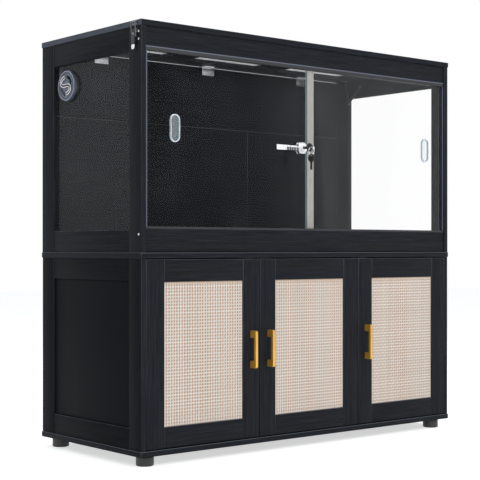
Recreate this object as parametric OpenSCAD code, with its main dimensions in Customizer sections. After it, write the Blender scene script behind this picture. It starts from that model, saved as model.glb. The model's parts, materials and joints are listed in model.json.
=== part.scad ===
// Terrarium cabinet: a glazed case with two sliding glass doors and a hinged mesh lid,
// standing on a storage base with three framed rattan doors.
// Millimetres, +X to the right, +Y to the back, +Z up. The origin is on the floor, at the
// middle of the whole object's footprint, door handles and keys included.

/* [Boards] */
// Width of the base board, the middle board and the lid
board_w = 1200; // [1000:10:1400]
// Depth of these three boards
board_d = 500; // [440:4:580]
// Thickness of the structural boards
board_t = 15; // [13:0.5:18]
// Bevel along the edges of the boards
edge_bevel = 0.8; // [0.4:0.1:1.2]

/* [Feet] */
// Diameter of a foot
foot_d = 48; // [36:1:60]
// Height of a foot
foot_h = 28; // [15:1:60]
// Distance from the base board's edges to the middle of a foot
foot_inset = 40; // [32:1:80]
// Rounding at a foot's lower edge
foot_edge = 3; // [1:0.5:5]

/* [Base cabinet] */
// Height of the base cabinet's sides, between the boards
lower_h = 503; // [400:1:620]
// Setback of the base cabinet's sides from the boards' edges
lower_inset = 2; // [1.5:0.5:6]
// Height of a base side's upper rail
lower_rail_top_h = 59; // [40:1:90]
// Height of a base side's lower rail
lower_rail_low_h = 56; // [40:1:90]
// Thickness of the filling panel in a base side
side_panel_t = 5; // [4:0.5:6]
// Depth at which sheets lie behind the face of their frame
sheet_recess = 5; // [3:0.5:6]
// Thickness of the base cabinet's back panel
lower_back_t = 5; // [3:0.5:8]
// Setback of that back panel from the sides' rear edges
lower_back_inset = 3; // [0:0.5:10]

/* [Rattan doors] */
// Gap between a door and the side it is hinged on
door_side_gap = 1.5; // [1:0.25:3]
// Gap between two doors
door_mid_gap = 3; // [2.5:0.25:6]
// Gap above and below the doors
door_end_gap = 3; // [1.5:0.25:6]
// Width of a door's stiles
door_stile_w = 58; // [48:1:80]
// Height of a door's upper rail
door_rail_top_h = 59.5; // [45:0.5:90]
// Height of a door's lower rail
door_rail_low_h = 55; // [45:0.5:90]
// Thickness of the woven rattan panel
rattan_t = 3; // [2:0.5:4]

/* [Door handles] */
// Overall length of a handle
handle_l = 104; // [80:1:160]
// Width of a handle
handle_w = 8; // [6:0.5:12]
// Depth of the handle's grip bar
handle_bar = 9; // [7:0.5:12]
// Room for the fingers between door and bar
handle_gap = 17; // [14:0.5:30]
// Height of a handle's leg
handle_leg = 20; // [12:1:26]
// Radius of the bar's outer corners
handle_round = 6; // [2:0.5:6.5]
// Distance from the door's free edge to the middle of the handle
handle_inset = 30; // [22:1:36]
// Height of the handle's middle above the door's lower rail
handle_z = 191; // [80:1:300]

/* [Door hinges] */
// Diameter of a hinge cup
cup_d = 35; // [26:1:35]
// Depth of a hinge cup
cup_depth = 11.5; // [9:0.5:12]
// Distance from the door's edge to the middle of a cup
cup_inset = 22.5; // [20:0.5:26]
// Distance from the door's end to the middle of a hinge
hinge_end = 90; // [60:1:140]

/* [Glazed case] */
// Height of the glazed case's sides, between middle board and lid
upper_h = 592; // [450:1:720]
// Setback of the glazed case from the boards' edges
upper_inset = 1.5; // [1:0.5:4]
// Width of the front stiles, in both cases
stile_front_w = 56; // [46:1:80]
// Width of the rear stiles, in both cases
stile_rear_w = 62; // [46:1:80]
// Height of the upper rail of a glazed side
upper_rail_top_h = 62; // [45:1:90]
// Height of the lower rail of a glazed side
upper_rail_low_h = 60; // [45:1:90]
// Setback of the side rails behind the stiles
rail_setback = 1; // [0.5:0.25:2]
// Depth of the grooves that hold glass and panels
groove_depth = 7; // [5:0.5:10]
// Thickness of the glass, sides and doors alike
glass_t = 4; // [3:0.5:5]
// Setback of the front rail and fascia behind the stiles
front_recess = 4; // [2:0.5:8]
// Height of the fascia under the lid
fascia_h = 51; // [35:1:80]
// Height of the front rail above the middle board
front_rail_h = 64; // [45:1:120]

/* [Sliding doors] */
// Play of a pane in its track, on each side
track_play = 0.25; // [0.25:0.05:0.6]
// Thickness of a track's outer walls
track_wall = 1.5; // [1:0.25:2]
// Thickness of the web between the two slots
track_web = 4; // [4:0.25:6]
// Thickness of a track's floor
track_floor = 1; // [0.8:0.1:2]
// Height of the lower track
track_low_h = 5; // [4:0.5:8]
// Depth of the channels beside the glass opening
channel_d = 6.5; // [5:0.5:7]
// Height of the upper track
track_top_h = 12; // [10:0.5:18]
// Depth to which the panes reach into the upper track
track_reach = 7; // [5:0.5:8]
// Gap between a pane and the side beside it
pane_gap = 1.5; // [0.5:0.25:3]
// Place of the front pane's free edge, from the middle
front_pane_edge = -12.5; // [-40:0.5:0]
// Width over which the two panes lap
pane_lap = 36; // [24:1:60]
// Width of the dust strip on the rear pane's edge
dust_strip_w = 26; // [16:1:34]
// Thickness of the dust strip's walls
dust_strip_wall = 0.8; // [0.6:0.1:1]
// Width of a finger pull
pull_w = 32; // [24:1:44]
// Height of a finger pull
pull_h = 75; // [60:1:100]
// Width of a finger pull's rim
pull_rim = 4; // [3:0.5:6]
// Thickness of a finger pull's rim
pull_rim_t = 0.8; // [0.6:0.1:1]
// Distance from the rear pane's outer edge to its pull
pull_inset_rear = 104; // [60:1:140]
// Distance from the front pane's outer edge to its pull
pull_inset_front = 83; // [60:1:140]
// Height of the rear pane's pull above the middle board
pull_z_rear = 332; // [200:1:400]
// Height of the front pane's pull above the middle board
pull_z_front = 321; // [200:1:400]

/* [Glass lock] */
// Height of the lock above the middle board
lock_z = 301; // [180:1:380]
// Distance from the front pane's free edge to the lock
lock_gap = 5.5; // [1:0.5:10]
// Length of the toothed bar from the rear pane's edge
bar_l = 144; // [110:1:180]
// Length of the bar's toothed part
bar_teeth_l = 36; // [24:1:60]
// Height of the bar
bar_h = 14; // [10:0.5:16]
// Thickness of the bar
bar_t = 1.2; // [1:0.1:1.2]
// Width of the lock body
lock_w = 28; // [24:0.5:32]
// Height of the lock body
lock_h = 32; // [28:1:40]
// Depth of the lock's block in front of the bar
lock_block = 11; // [9:0.5:16]
// Diameter of the lock's barrel
barrel_d = 23; // [20:0.5:24]
// Length of the barrel in front of the block
barrel_l = 9; // [5:0.5:14]
// Diameter of the turning plug
plug_d = 14; // [10:0.5:16]
// Length of a key's neck between lock and bow
key_neck = 8.5; // [6:0.5:14]
// Diameter of a key's bow
bow_d = 24; // [18:1:28]
// Thickness of a key's bow
bow_t = 3; // [2:0.5:4]
// Diameter of the hole in a key's bow
bow_hole_d = 5; // [4:0.5:6]
// Length of a key's blade beyond its neck
blade_l = 13; // [8:1:13]
// Width of a key's blade
blade_w = 7; // [5:0.5:9]
// Thickness of a key's blade
blade_t = 2; // [1.5:0.25:2.5]
// Diameter of the key ring, at its wire's middle
ring_d = 20; // [20:0.5:30]
// Diameter of the key ring's wire
ring_wire = 1.6; // [1.2:0.1:2]

/* [Lid] */
// Gap between lid and case
lid_gap = 0.3; // [0.2:0.1:1]
// Width of a mesh opening in the lid
mesh_w = 282; // [180:1:320]
// Width of the lid's front and rear margins beside the openings
lid_margin = 84; // [60:1:110]
// Width of the rabbet that seats a mesh frame
rabbet_w = 8; // [6:0.5:12]
// Depth of that rabbet
rabbet_depth = 6; // [4:0.5:9]
// Thickness of the mesh
mesh_t = 1.2; // [0.8:0.1:2]
// Width of one bar of the mesh
mesh_bar = 2.4; // [1.6:0.1:4]
// Mesh gaps along the cabinet's width, per panel
mesh_nx = 9; // [6:1:10]
// Mesh gaps along the cabinet's depth, per panel
mesh_ny = 10; // [6:1:10]

/* [Lid hinges] */
// Gap between the back boards and the lid, for the hinge leaves
back_gap = 3; // [2.8:0.1:5]
// Distance from the middle hinge to each outer one
lid_hinge_pitch = 405; // [250:5:440]
// Width of a lid hinge
lid_hinge_w = 48; // [36:1:64]
// Thickness of a hinge leaf
leaf_t = 1.2; // [1:0.1:1.4]
// Height of the leaf on the inside of the back
leaf_h = 25; // [18:1:40]
// Diameter of a hinge knuckle
knuckle_d = 6; // [5:0.25:7]
// Diameter of the hinge pin
hinge_pin_d = 3; // [2:0.25:3.5]

/* [Lid stays] */
// Distance from the boards' rear edge to the stay's pivot on the side
stay_side_y = 123; // [115:1:130]
// Depth of that pivot below the case's top
stay_side_z = 25; // [20:1:30]
// Distance from the boards' rear edge to the stay's pivot on the lid
stay_lid_y = 58; // [52:1:64]
// Distance from the boards' rear edge to the stay's elbow, folded
stay_elbow_y = 63; // [58:1:68]
// Depth of the folded elbow below the case's top
stay_elbow_z = 78; // [74:1:82]
// Width of a stay's arm
stay_arm_w = 11; // [8:0.5:13]
// Thickness of a stay's arm
stay_arm_t = 2; // [1.5:0.25:2.5]
// Diameter of the stay's pivots
stay_pin_d = 5; // [4:0.25:6]

/* [Draw latches] */
// Gap between the case's screws and a latch's base
latch_gap = 1.5; // [0.5:0.5:14]
// Width of a latch's base and strike
latch_w = 22; // [21:0.5:26]
// Depth of the lever's pivot below the case's top
latch_pivot_z = 21; // [16:0.5:28]
// Distance of the lever's pivot from the stile's face
latch_pivot_x = 6; // [5.5:0.25:7]
// Length of the lever below its pivot
latch_lever_l = 41; // [34:1:55]
// Height from the loop's pivot up to the lever's pivot
latch_throw = 8; // [7:0.5:9]
// Diameter of the loop's wire
latch_wire = 2.5; // [2:0.1:2.6]

/* [Vent] */
// Diameter of the vent's flange
vent_d = 88; // [76:1:100]
// Thickness of that flange
vent_flange_t = 8; // [7:0.5:10]
// Diameter of the vent's turning cover
vent_cover_d = 69; // [60:0.5:72]
// Diameter of the vent's sleeve through the glass
vent_sleeve_d = 65; // [50:1:70]
// Distance from the boards' rear edge to the middle of the vent
vent_y = 134; // [120:1:200]
// Depth of the vent's middle below the case's top
vent_z = 122; // [115:1:200]

/* [Fits] */
// Play around sheets, panes, screws and cups
play = 0.3; // [0.2:0.05:0.5]
// Radial clearance of pins that turn
pin_clear = 0.05; // [0.02:0.01:0.09]

/* [Hidden] */

$fn = 64;
// Overlap of a cutter beyond the face it cuts
cut = 0.5;
// Seam between two pieces of wood that are joined
seam = 0.05;

// Heights, from the floor up
z_lower = foot_h + board_t;
z_mid = z_lower + lower_h;
z_floor = z_mid + board_t;
z_case = z_floor + upper_h;
z_lid = z_case + lid_gap;
z_top = z_lid + board_t;

// Distances behind the boards' front edge
slot_w = glass_t + 2 * track_play;
track_d = 2 * track_wall + 2 * slot_w + track_web;
fascia_front = upper_inset + front_recess;
front_pane_d = fascia_front + track_wall + track_play;
rear_pane_d = front_pane_d + glass_t + 2 * track_play + track_web;
pane_space = rear_pane_d - front_pane_d - glass_t;
// Thickness of the lock body's wall behind the bar
lock_back_t = 1;
lock_play = (pane_space - pull_rim_t - bar_t - lock_back_t - dust_strip_wall) / 3;
bar_front_d = front_pane_d + glass_t + pull_rim_t + lock_play;
lock_front_d = bar_front_d - lock_block - barrel_l;
bow_d_pos = lock_front_d - key_neck - bow_d / 2;
// Material left between a bow's hole and its rim
bow_web = 2;
bow_hole_off = bow_d / 2 - bow_hole_d / 2 - bow_web;
// Room between the hinge knuckle and the case behind which it lies
knuckle_clear = 0.3;
hinge_axis_out = knuckle_d / 2 + knuckle_clear - upper_inset;

// Depths: the origin is halfway between the foremost and the rearmost point
handle_over = handle_gap + handle_bar - lower_inset;
spare_over = bow_hole_off + bow_d / 2 - bow_d_pos;
front_over = max(handle_over, spare_over);
rear_over = hinge_axis_out + knuckle_d / 2;
y_front = -board_d / 2 + (front_over - rear_over) / 2;
y_rear = y_front + board_d;

// Base cabinet
lower_x = board_w / 2 - lower_inset;
lower_in = lower_x - board_t;
lower_y0 = y_front + lower_inset;
lower_y1 = y_rear - lower_inset;
door_rear = lower_y0 + board_t;
door_w = (2 * lower_in - 2 * door_side_gap - 2 * door_mid_gap) / 3;
door_z0 = z_lower + door_end_gap;
door_z1 = z_mid - door_end_gap;
partition_x = lower_in - door_side_gap - door_w - door_mid_gap / 2;
// Room between the doors' rear faces and what stands behind them
door_clear = 1.5;
// Thickness of the door fittings' plates
plate_t = 1;

// Glazed case
upper_x = board_w / 2 - upper_inset;
upper_in = upper_x - board_t;
upper_y0 = y_front + upper_inset;
upper_y1 = y_rear - upper_inset;
side_glass_out = (board_t - glass_t) / 2;
fascia_z = z_case - fascia_h;
track_top_z = fascia_z - track_top_h;
track_low_z = z_floor + front_rail_h;
track_low_top = track_low_z + track_low_h;
pane_z0 = track_low_z + track_floor + play;
pane_z1 = track_top_z + track_reach;
pane_edge = upper_in - pane_gap;
rear_pane_edge = front_pane_edge + pane_lap;
y_front_pane = y_front + front_pane_d;
y_rear_pane = y_front + rear_pane_d;

// Lid
mesh_pitch = (board_w + mesh_w) / 4;
mesh_d = board_d - 2 * lid_margin;
lid_axis_y = y_rear + hinge_axis_out;
lid_axis_z = z_case - back_gap;
back_y = upper_y1 - board_t;
// Height of the lowest of the back boards, and place of its vertical seam
back_low_h = 397;
back_seam_z = z_floor + back_low_h;
back_seam_x = 165;

// Stays
post_y = y_rear - stay_side_y;
post_z = z_case - stay_side_z;
elbow_y = y_rear - stay_elbow_y;
elbow_z = z_case - stay_elbow_z;
stay_lid_y_pos = y_rear - stay_lid_y;
// Drop of the stay's pivot below the lid
stay_drop = 8.3;
stay_lid_z = z_lid - stay_drop;
// Room between the side and the stay's arm, and between arm and link
stay_room = 1;
stay_space = 0.5;
arm_x = upper_in - stay_room - stay_arm_t;
link_x = arm_x - stay_space - stay_arm_t;
stay_tab_t = 2;
stay_tab_x = link_x - stay_space - stay_tab_t;
// Rivet at the elbow: a boss on the arm and a head on the link
stay_rivet_d = 6.5;
stay_rivet_t = stay_space / 2;

// Case screws
screw_y = fascia_front + board_t / 2;
screw_head_d = 6;

// Draw latches
latch_mid_y = y_front + screw_y + screw_head_d / 2 + latch_gap + latch_w / 2;
latch_x = upper_x + latch_pivot_x;
latch_z = z_case - latch_pivot_z;
loop_x = latch_x - 1;
loop_z = latch_z - latch_throw;
latch_plate_t = 1.5;
latch_pin_d = 3;
ear_t = 1.5;
pin_reach = 2.5;
strike_plate_t = 1.2;
// Reach of the lip before its plate, and height of its middle as a share of the lid's
lip_reach = 3.8;
lip_share = 0.6;
lip_out = board_w / 2 + strike_plate_t + lip_reach;
lip_t = 1.2;
lip_gap = 0.25;
loop_bar_x = lip_out + lip_gap + latch_wire / 2;
loop_bar_z = z_lid + board_t * lip_share;
// Room from the base plate's edge to the ears and to the loop's legs
ear_room = 0.75;
leg_room = 0.4;
ear_out = latch_w / 2 - latch_wire - ear_room;
loop_leg_y = latch_w / 2 - latch_wire / 2 - leg_room;

// Vent
vent_mid_y = y_rear - vent_y;
vent_mid_z = z_case - vent_z;
vent_glass_x = upper_x - side_glass_out;

board_color = [0.17, 0.18, 0.19];
metal_color = [0.72, 0.73, 0.75];
brass_color = [0.80, 0.62, 0.30];
rattan_color = [0.86, 0.79, 0.66];
glass_color = [0.72, 0.82, 0.82, 0.35];
black_color = [0.08, 0.08, 0.08];
vent_color = [0.38, 0.41, 0.44];
clear_color = [0.80, 0.82, 0.81, 0.6];
track_color = [0.30, 0.33, 0.36];

// A board with bevelled edges, its underside at z = 0 and its front edge at y_front
module bevelled(w, d, t) {
  b = edge_bevel;
  intersection() {
    rotate([90, 0, 90]) translate([0, 0, -w / 2]) linear_extrude(w) bevel_profile(d, t, b);
    rotate([90, 0, 0]) translate([0, 0, -d / 2]) linear_extrude(d) bevel_profile(w, t, b);
  }
}

module bevel_profile(w, t, b) {
  polygon([[b - w / 2, 0], [w / 2 - b, 0], [w / 2, b], [w / 2, t - b],
    [w / 2 - b, t], [b - w / 2, t], [-w / 2, t - b], [-w / 2, b]]);
}

module board_at(z) {
  color(board_color) translate([0, y_front + board_d / 2, z]) bevelled(board_w, board_d, board_t);
}

// Moves a part of the left-hand side to the right-hand side
module both_sides() {
  children();
  mirror([1, 0, 0]) children();
}

// A cylinder along X, from x0 to x1
module bar_x(x0, x1, y, z, d) {
  translate([x0, y, z]) rotate([0, 90, 0]) cylinder(h = x1 - x0, d = d);
}

// A cylinder along Y, from y0 to y1
module bar_y(y0, y1, x, z, d) {
  translate([x, y1, z]) rotate([90, 0, 0]) cylinder(h = y1 - y0, d = d);
}

// A flat link in the Y-Z plane from point p to point q, from x0 on, narrower between its eyes
module link_shape(x0, t, w, p, q) {
  v = q - p;
  web_w = w * 0.8;
  translate([x0, 0, 0]) rotate([90, 0, 90]) linear_extrude(t) {
    translate(p) circle(d = w);
    translate(q) circle(d = w);
    translate(p) rotate(atan2(v[1], v[0])) translate([0, -web_w / 2]) square([norm(v), web_w]);
  }
}

// A stadium, its middle at the origin
module stadium(w, h) {
  square([w, h - w], center = true);
  translate([0, (h - w) / 2]) circle(d = w);
  translate([0, (w - h) / 2]) circle(d = w);
}

// A framed side, stiles and rails apart, with a groove for its sheet; outer face at -x_out
module side_frame(x_out, y0, y1, z0, h, rail_top, rail_low, sheet_out, sheet_t) {
  rail_y = y0 + stile_front_w + seam;
  rail_l = y1 - stile_rear_w - seam - rail_y;
  module groove() {
    translate([sheet_out - x_out - play, y0 + stile_front_w - groove_depth,
      z0 + rail_low - groove_depth])
      cube([sheet_t + 2 * play, y1 - y0 - stile_front_w - stile_rear_w + 2 * groove_depth,
        h - rail_top - rail_low + 2 * groove_depth]);
  }
  module rail(z, rail_h) {
    difference() {
      translate([rail_setback - x_out, rail_y, z])
        cube([board_t - rail_setback, rail_l, rail_h]);
      groove();
    }
  }
  module stile(y, w) {
    difference() {
      translate([-x_out, y, z0]) cube([board_t, w, h]);
      groove();
    }
  }
  stile(y0, stile_front_w);
  stile(y1 - stile_rear_w, stile_rear_w);
  rail(z0, rail_low);
  rail(z0 + h - rail_top, rail_top);
}

// The sheet that such a frame holds
module side_sheet(x_out, y0, y1, z0, h, rail_top, rail_low, sheet_out, sheet_t) {
  reach = groove_depth - play;
  translate([sheet_out - x_out, y0 + stile_front_w - reach, z0 + rail_low - reach])
    cube([sheet_t, y1 - y0 - stile_front_w - stile_rear_w + 2 * reach,
      h - rail_top - rail_low + 2 * reach]);
}

module lower_side() {
  color(board_color)
    side_frame(lower_x, lower_y0, lower_y1, z_lower, lower_h,
      lower_rail_top_h, lower_rail_low_h, sheet_recess, side_panel_t);
}

module upper_side() {
  color(board_color)
    side_frame(upper_x, upper_y0, upper_y1, z_floor, upper_h,
      upper_rail_top_h, upper_rail_low_h, side_glass_out, glass_t);
}

module feet() {
  // Radius of a foot's upper collar and height of that collar
  collar_h = 4;
  collar_d = foot_d - 6;
  color(black_color)
    for (x = [-1, 1], y = [y_front + foot_inset, y_rear - foot_inset])
      translate([x * (board_w / 2 - foot_inset), y, 0]) {
        rotate_extrude() polygon([[0, 0], [foot_d / 2 - foot_edge, 0],
          [foot_d / 2 - foot_edge * 0.3, foot_edge * 0.3], [foot_d / 2, foot_edge],
          [foot_d / 2, foot_h - collar_h - 1], [foot_d / 2 - 1, foot_h - collar_h],
          [0, foot_h - collar_h]]);
        cylinder(h = foot_h, d = collar_d);
      }
}

module bottom_board() {
  board_at(foot_h);
}

module mid_board() {
  board_at(z_mid);
}

module lower_left_frame() {
  lower_side();
}

module lower_right_frame() {
  mirror([1, 0, 0]) lower_side();
}

module lower_side_panels() {
  color(board_color) both_sides()
    side_sheet(lower_x, lower_y0, lower_y1, z_lower, lower_h,
      lower_rail_top_h, lower_rail_low_h, sheet_recess, side_panel_t);
}

module lower_back() {
  color(board_color)
    translate([-lower_in, lower_y1 - lower_back_inset - lower_back_t, z_lower])
      cube([2 * lower_in, lower_back_t, lower_h]);
}

module partition() {
  y0 = door_rear + door_clear;
  y1 = lower_y1 - lower_back_inset - lower_back_t;
  color(board_color)
    translate([partition_x - board_t / 2, y0, z_lower]) cube([board_t, y1 - y0, lower_h]);
}

// Places of the doors: number 0 is the left one, which alone is hinged on its left
function door_x(i) = door_side_gap - lower_in + i * (door_w + door_mid_gap);
function hinge_dir(i) = i == 0 ? -1 : 1;
function hinge_edge(i) = i == 0 ? door_x(i) : door_x(i) + door_w;
function free_edge(i) = i == 0 ? door_x(i) + door_w : door_x(i);
function cup_x(i) = hinge_edge(i) - hinge_dir(i) * cup_inset;
function handle_x(i) = free_edge(i) + hinge_dir(i) * handle_inset;
function hinge_face(i) = i == 0 ? -lower_in : (i == 1 ? partition_x - board_t / 2 : lower_in);

// An arm in the carcass, from its side face towards a door's cup
module hinge_arm(i, z) {
  dir = hinge_dir(i);
  // Sizes of the arm's base plate and of its channel
  base_t = 2;
  base_l = 26;
  base_h = 46;
  arm_w = 14;
  arm_out = 13;
  arm_l = 38;
  nose_l = 12;
  nose_h = 12;
  y0 = door_rear + door_clear;
  tip = abs(hinge_face(i) - cup_x(i)) + nose_h / 2;
  translate([hinge_face(i), y0, z]) scale_x(-dir) {
    translate([0, arm_l - base_l, -base_h / 2]) cube([base_t, base_l, base_h]);
    translate([0, nose_l / 2, -arm_w / 2]) cube([arm_out, arm_l - nose_l / 2, arm_w]);
    translate([seam, 0, -nose_h / 2]) cube([tip, nose_l, nose_h]);
  }
}

// Mirrors a shape drawn towards +X if the direction is negative
module scale_x(dir) {
  if (dir > 0) children();
  else mirror([1, 0, 0]) children();
}

module door_hinge_arms() {
  color(metal_color)
    for (i = [0:2], z = [door_z0 + hinge_end, door_z1 - hinge_end]) hinge_arm(i, z);
}

module door_catches() {
  // Size of a magnetic catch under the middle board
  catch_w = 40;
  catch_d = 14;
  catch_h = 16;
  color(black_color)
    for (i = [0:2])
      translate([handle_x(i) - catch_w / 2, door_rear + plate_t + play, z_mid - catch_h])
        cube([catch_w, catch_d, catch_h]);
}

module upper_left_frame() {
  upper_side();
}

module upper_right_frame() {
  mirror([1, 0, 0]) upper_side();
}

module glass_sheet() {
  side_sheet(upper_x, upper_y0, upper_y1, z_floor, upper_h,
    upper_rail_top_h, upper_rail_low_h, side_glass_out, glass_t);
}

module side_glass() {
  color(glass_color) {
    difference() {
      glass_sheet();
      bar_x(-vent_glass_x - cut, glass_t + cut - vent_glass_x, vent_mid_y, vent_mid_z,
        vent_sleeve_d + 2 * play);
    }
    mirror([1, 0, 0]) glass_sheet();
  }
}

module front_fascia() {
  color(board_color)
    translate([seam - upper_in, y_front + fascia_front, fascia_z])
      cube([2 * (upper_in - seam), board_t, fascia_h]);
}

module front_rail() {
  color(board_color)
    translate([seam - upper_in, y_front + fascia_front, z_floor])
      cube([2 * (upper_in - seam), board_t, front_rail_h]);
}

// A track with two slots that open upwards, its underside at z = 0
module track(h) {
  difference() {
    translate([seam - upper_in, 0, 0]) cube([2 * (upper_in - seam), track_d, h]);
    for (y = [track_wall, track_wall + slot_w + track_web])
      translate([-upper_in, y, track_floor]) cube([2 * upper_in, slot_w, h]);
  }
}

module glass_tracks() {
  color(track_color) translate([0, y_front + fascia_front, 0]) {
    translate([0, 0, track_low_z]) track(track_low_h);
    translate([0, 0, fascia_z]) mirror([0, 0, 1]) track(track_top_h);
  }
}

// Channels beside the opening, with slots like the tracks' for the panes' ends
module side_channels() {
  h = track_top_z - track_low_top - 2 * seam;
  color(track_color) both_sides()
    translate([seam - upper_in, y_front + fascia_front, track_low_top + seam]) difference() {
      cube([channel_d, track_d, h]);
      for (y = [track_wall, track_wall + slot_w + track_web])
        translate([pane_gap - play - seam, y, -cut]) cube([channel_d, slot_w, h + 2 * cut]);
    }
}

module back_boards() {
  z1 = lid_axis_z;
  module back_board(x0, x1, z0, z1) {
    translate([x0 + seam, back_y, z0]) cube([x1 - x0 - 2 * seam, board_t, z1 - z0]);
  }
  color(board_color) {
    back_board(-upper_in, upper_in, back_seam_z + seam, z1);
    back_board(-upper_in, back_seam_x, z_floor, back_seam_z - seam);
    back_board(back_seam_x, upper_in, z_floor, back_seam_z - seam);
  }
}

// Lid hinges: knuckles of the lower leaf outside, knuckle of the upper leaf in the middle
knuckle_share = 0.36;
knuckle_mid = lid_hinge_w * knuckle_share;
knuckle_space = 0.5;
leaf_clear = knuckle_d / 2 + knuckle_clear;

module lower_leaf() {
  top_z = lid_axis_z;
  side_l = (lid_hinge_w - knuckle_mid) / 2 - knuckle_space;
  translate([-lid_hinge_w / 2, back_y - leaf_t, top_z - leaf_h])
    cube([lid_hinge_w, leaf_t, leaf_h + leaf_t]);
  translate([-lid_hinge_w / 2, back_y - leaf_t, top_z])
    cube([lid_hinge_w, lid_axis_y - leaf_clear - back_y + leaf_t, leaf_t]);
  for (x = [-lid_hinge_w / 2, lid_hinge_w / 2 - side_l]) {
    translate([x, back_y, top_z]) cube([side_l, lid_axis_y - back_y, leaf_t]);
    bar_x(x, x + side_l, lid_axis_y, lid_axis_z, knuckle_d);
  }
  bar_x(-lid_hinge_w / 2, lid_hinge_w / 2, lid_axis_y, lid_axis_z, hinge_pin_d);
  // Two screw heads in the leaf
  for (x = [-lid_hinge_w / 4, lid_hinge_w / 4])
    bar_y(back_y - leaf_t - 0.8, back_y - leaf_t + seam, x, top_z - leaf_h / 2, 7);
}

module upper_leaf() {
  tongue_l = knuckle_mid;
  leaf_d = 36;
  translate([-lid_hinge_w / 2, lid_axis_y - leaf_clear - leaf_d, z_lid - leaf_t])
    cube([lid_hinge_w, leaf_d, leaf_t]);
  difference() {
    union() {
      translate([-tongue_l / 2, lid_axis_y - leaf_clear - seam, z_lid - leaf_t])
        cube([tongue_l, leaf_clear - hinge_pin_d / 2, leaf_t]);
      bar_x(-tongue_l / 2, tongue_l / 2, lid_axis_y, lid_axis_z, knuckle_d);
    }
    bar_x(-tongue_l / 2 - cut, tongue_l / 2 + cut, lid_axis_y, lid_axis_z,
      hinge_pin_d + 2 * pin_clear);
  }
}

module lid_hinge_lower_leaves() {
  color(metal_color)
    for (i = [-1:1]) translate([i * lid_hinge_pitch, 0, 0]) lower_leaf();
}

module lid_hinge_upper_leaves() {
  color(metal_color)
    for (i = [-1:1]) translate([i * lid_hinge_pitch, 0, 0]) upper_leaf();
}

// Draw latch, drawn on the left-hand side
module latch_base() {
  base_drop = 20;
  base_h = 34;
  base_z0 = latch_z - base_drop;
  pin_half = ear_out - ear_t - seam;
  translate([-upper_x - latch_plate_t, latch_mid_y - latch_w / 2, base_z0])
    cube([latch_plate_t, latch_w, base_h]);
  for (y = [-ear_out, ear_out - ear_t]) {
    translate([-latch_x, latch_mid_y + y, latch_z - latch_pin_d])
      cube([latch_pivot_x - latch_plate_t - seam, ear_t, 2 * latch_pin_d]);
    bar_y(latch_mid_y + y, latch_mid_y + y + ear_t, -latch_x, latch_z, 2 * latch_pin_d);
  }
  bar_y(latch_mid_y - pin_half, latch_mid_y + pin_half, -latch_x, latch_z, latch_pin_d);
}

module latch_bases() {
  color(metal_color) both_sides() latch_base();
}

module latch_lever() {
  w = ear_out - ear_t - play;
  hub_d = 5.6;
  plate_w = 2 * (loop_leg_y - latch_wire / 2 - play);
  web_t = 2;
  shell_x = loop_x + latch_wire / 2 + 0.5;
  tip_w = plate_w - 3;
  tip_h = 16;
  difference() {
    union() {
      for (p = [[latch_x, latch_z], [loop_x, loop_z]])
        bar_y(latch_mid_y - w, latch_mid_y + w, -p[0], p[1], hub_d);
      translate([-shell_x, latch_mid_y - w, loop_z - latch_throw / 2])
        cube([shell_x - loop_x + web_t, 2 * w, latch_throw * 1.5]);
      translate([-shell_x - web_t, latch_mid_y - plate_w / 2, latch_z - latch_lever_l + tip_h])
        cube([web_t, plate_w, latch_lever_l - tip_h - latch_pin_d - 1]);
      translate([-shell_x - web_t, latch_mid_y - tip_w / 2, latch_z - latch_lever_l])
        cube([web_t, tip_w, tip_h + 1]);
    }
    bar_y(latch_mid_y - w - cut, latch_mid_y + w + cut, -latch_x, latch_z,
      latch_pin_d + 2 * pin_clear);
    for (s = [-1, 1])
      translate([-loop_x, latch_mid_y + s * w, loop_z]) rotate([90, 0, 0])
        cylinder(h = 2 * (pin_reach + play), d = latch_wire + 2 * pin_clear, center = true);
  }
}

module latch_loop() {
  v = [loop_bar_x - loop_x, loop_bar_z - loop_z];
  // Where the pins end, inside the lever
  y_in = ear_out - ear_t - play - pin_reach;
  for (s = [-1, 1]) {
    translate([-loop_x, latch_mid_y + s * (y_in + loop_leg_y) / 2, loop_z]) rotate([90, 0, 0])
      cylinder(h = loop_leg_y - y_in, d = latch_wire, center = true);
    translate([-loop_x, latch_mid_y + s * loop_leg_y, loop_z]) {
      sphere(d = latch_wire);
      rotate([0, -atan2(v[0], v[1]), 0]) cylinder(h = norm(v), d = latch_wire);
    }
    translate([-loop_bar_x, latch_mid_y + s * loop_leg_y, loop_bar_z]) sphere(d = latch_wire);
  }
  bar_y(latch_mid_y - loop_leg_y, latch_mid_y + loop_leg_y, -loop_bar_x, loop_bar_z, latch_wire);
}

module strike() {
  plate_z = z_lid + 2;
  plate_h = board_t - 4;
  lip_w = 2 * (loop_leg_y - latch_wire / 2 - lip_gap);
  lip_h = 5;
  shelf_z = loop_bar_z - lip_h / 2;
  translate([-board_w / 2 - strike_plate_t, latch_mid_y - latch_w / 2, plate_z])
    cube([strike_plate_t, latch_w, plate_h]);
  translate([lip_t + seam - lip_out, latch_mid_y - lip_w / 2, shelf_z])
    cube([lip_reach - lip_t - 2 * seam, lip_w, lip_t]);
  translate([-lip_out, latch_mid_y - lip_w / 2, shelf_z])
    cube([lip_t, lip_w, lip_h]);
}

module latch_lever_left() {
  color(metal_color) latch_lever();
}

module latch_lever_right() {
  color(metal_color) mirror([1, 0, 0]) latch_lever();
}

module latch_loop_left() {
  color(metal_color) latch_loop();
}

module latch_loop_right() {
  color(metal_color) mirror([1, 0, 0]) latch_loop();
}

// Lid stays, drawn on the left-hand side
module stay_posts() {
  head_d = 9;
  head_t = 1;
  x1 = -arm_x + play;
  color(metal_color) both_sides() {
    bar_x(-upper_in, x1 + head_t, post_y, post_z, stay_pin_d);
    bar_x(x1, x1 + head_t, post_y, post_z, head_d);
  }
}

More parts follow.
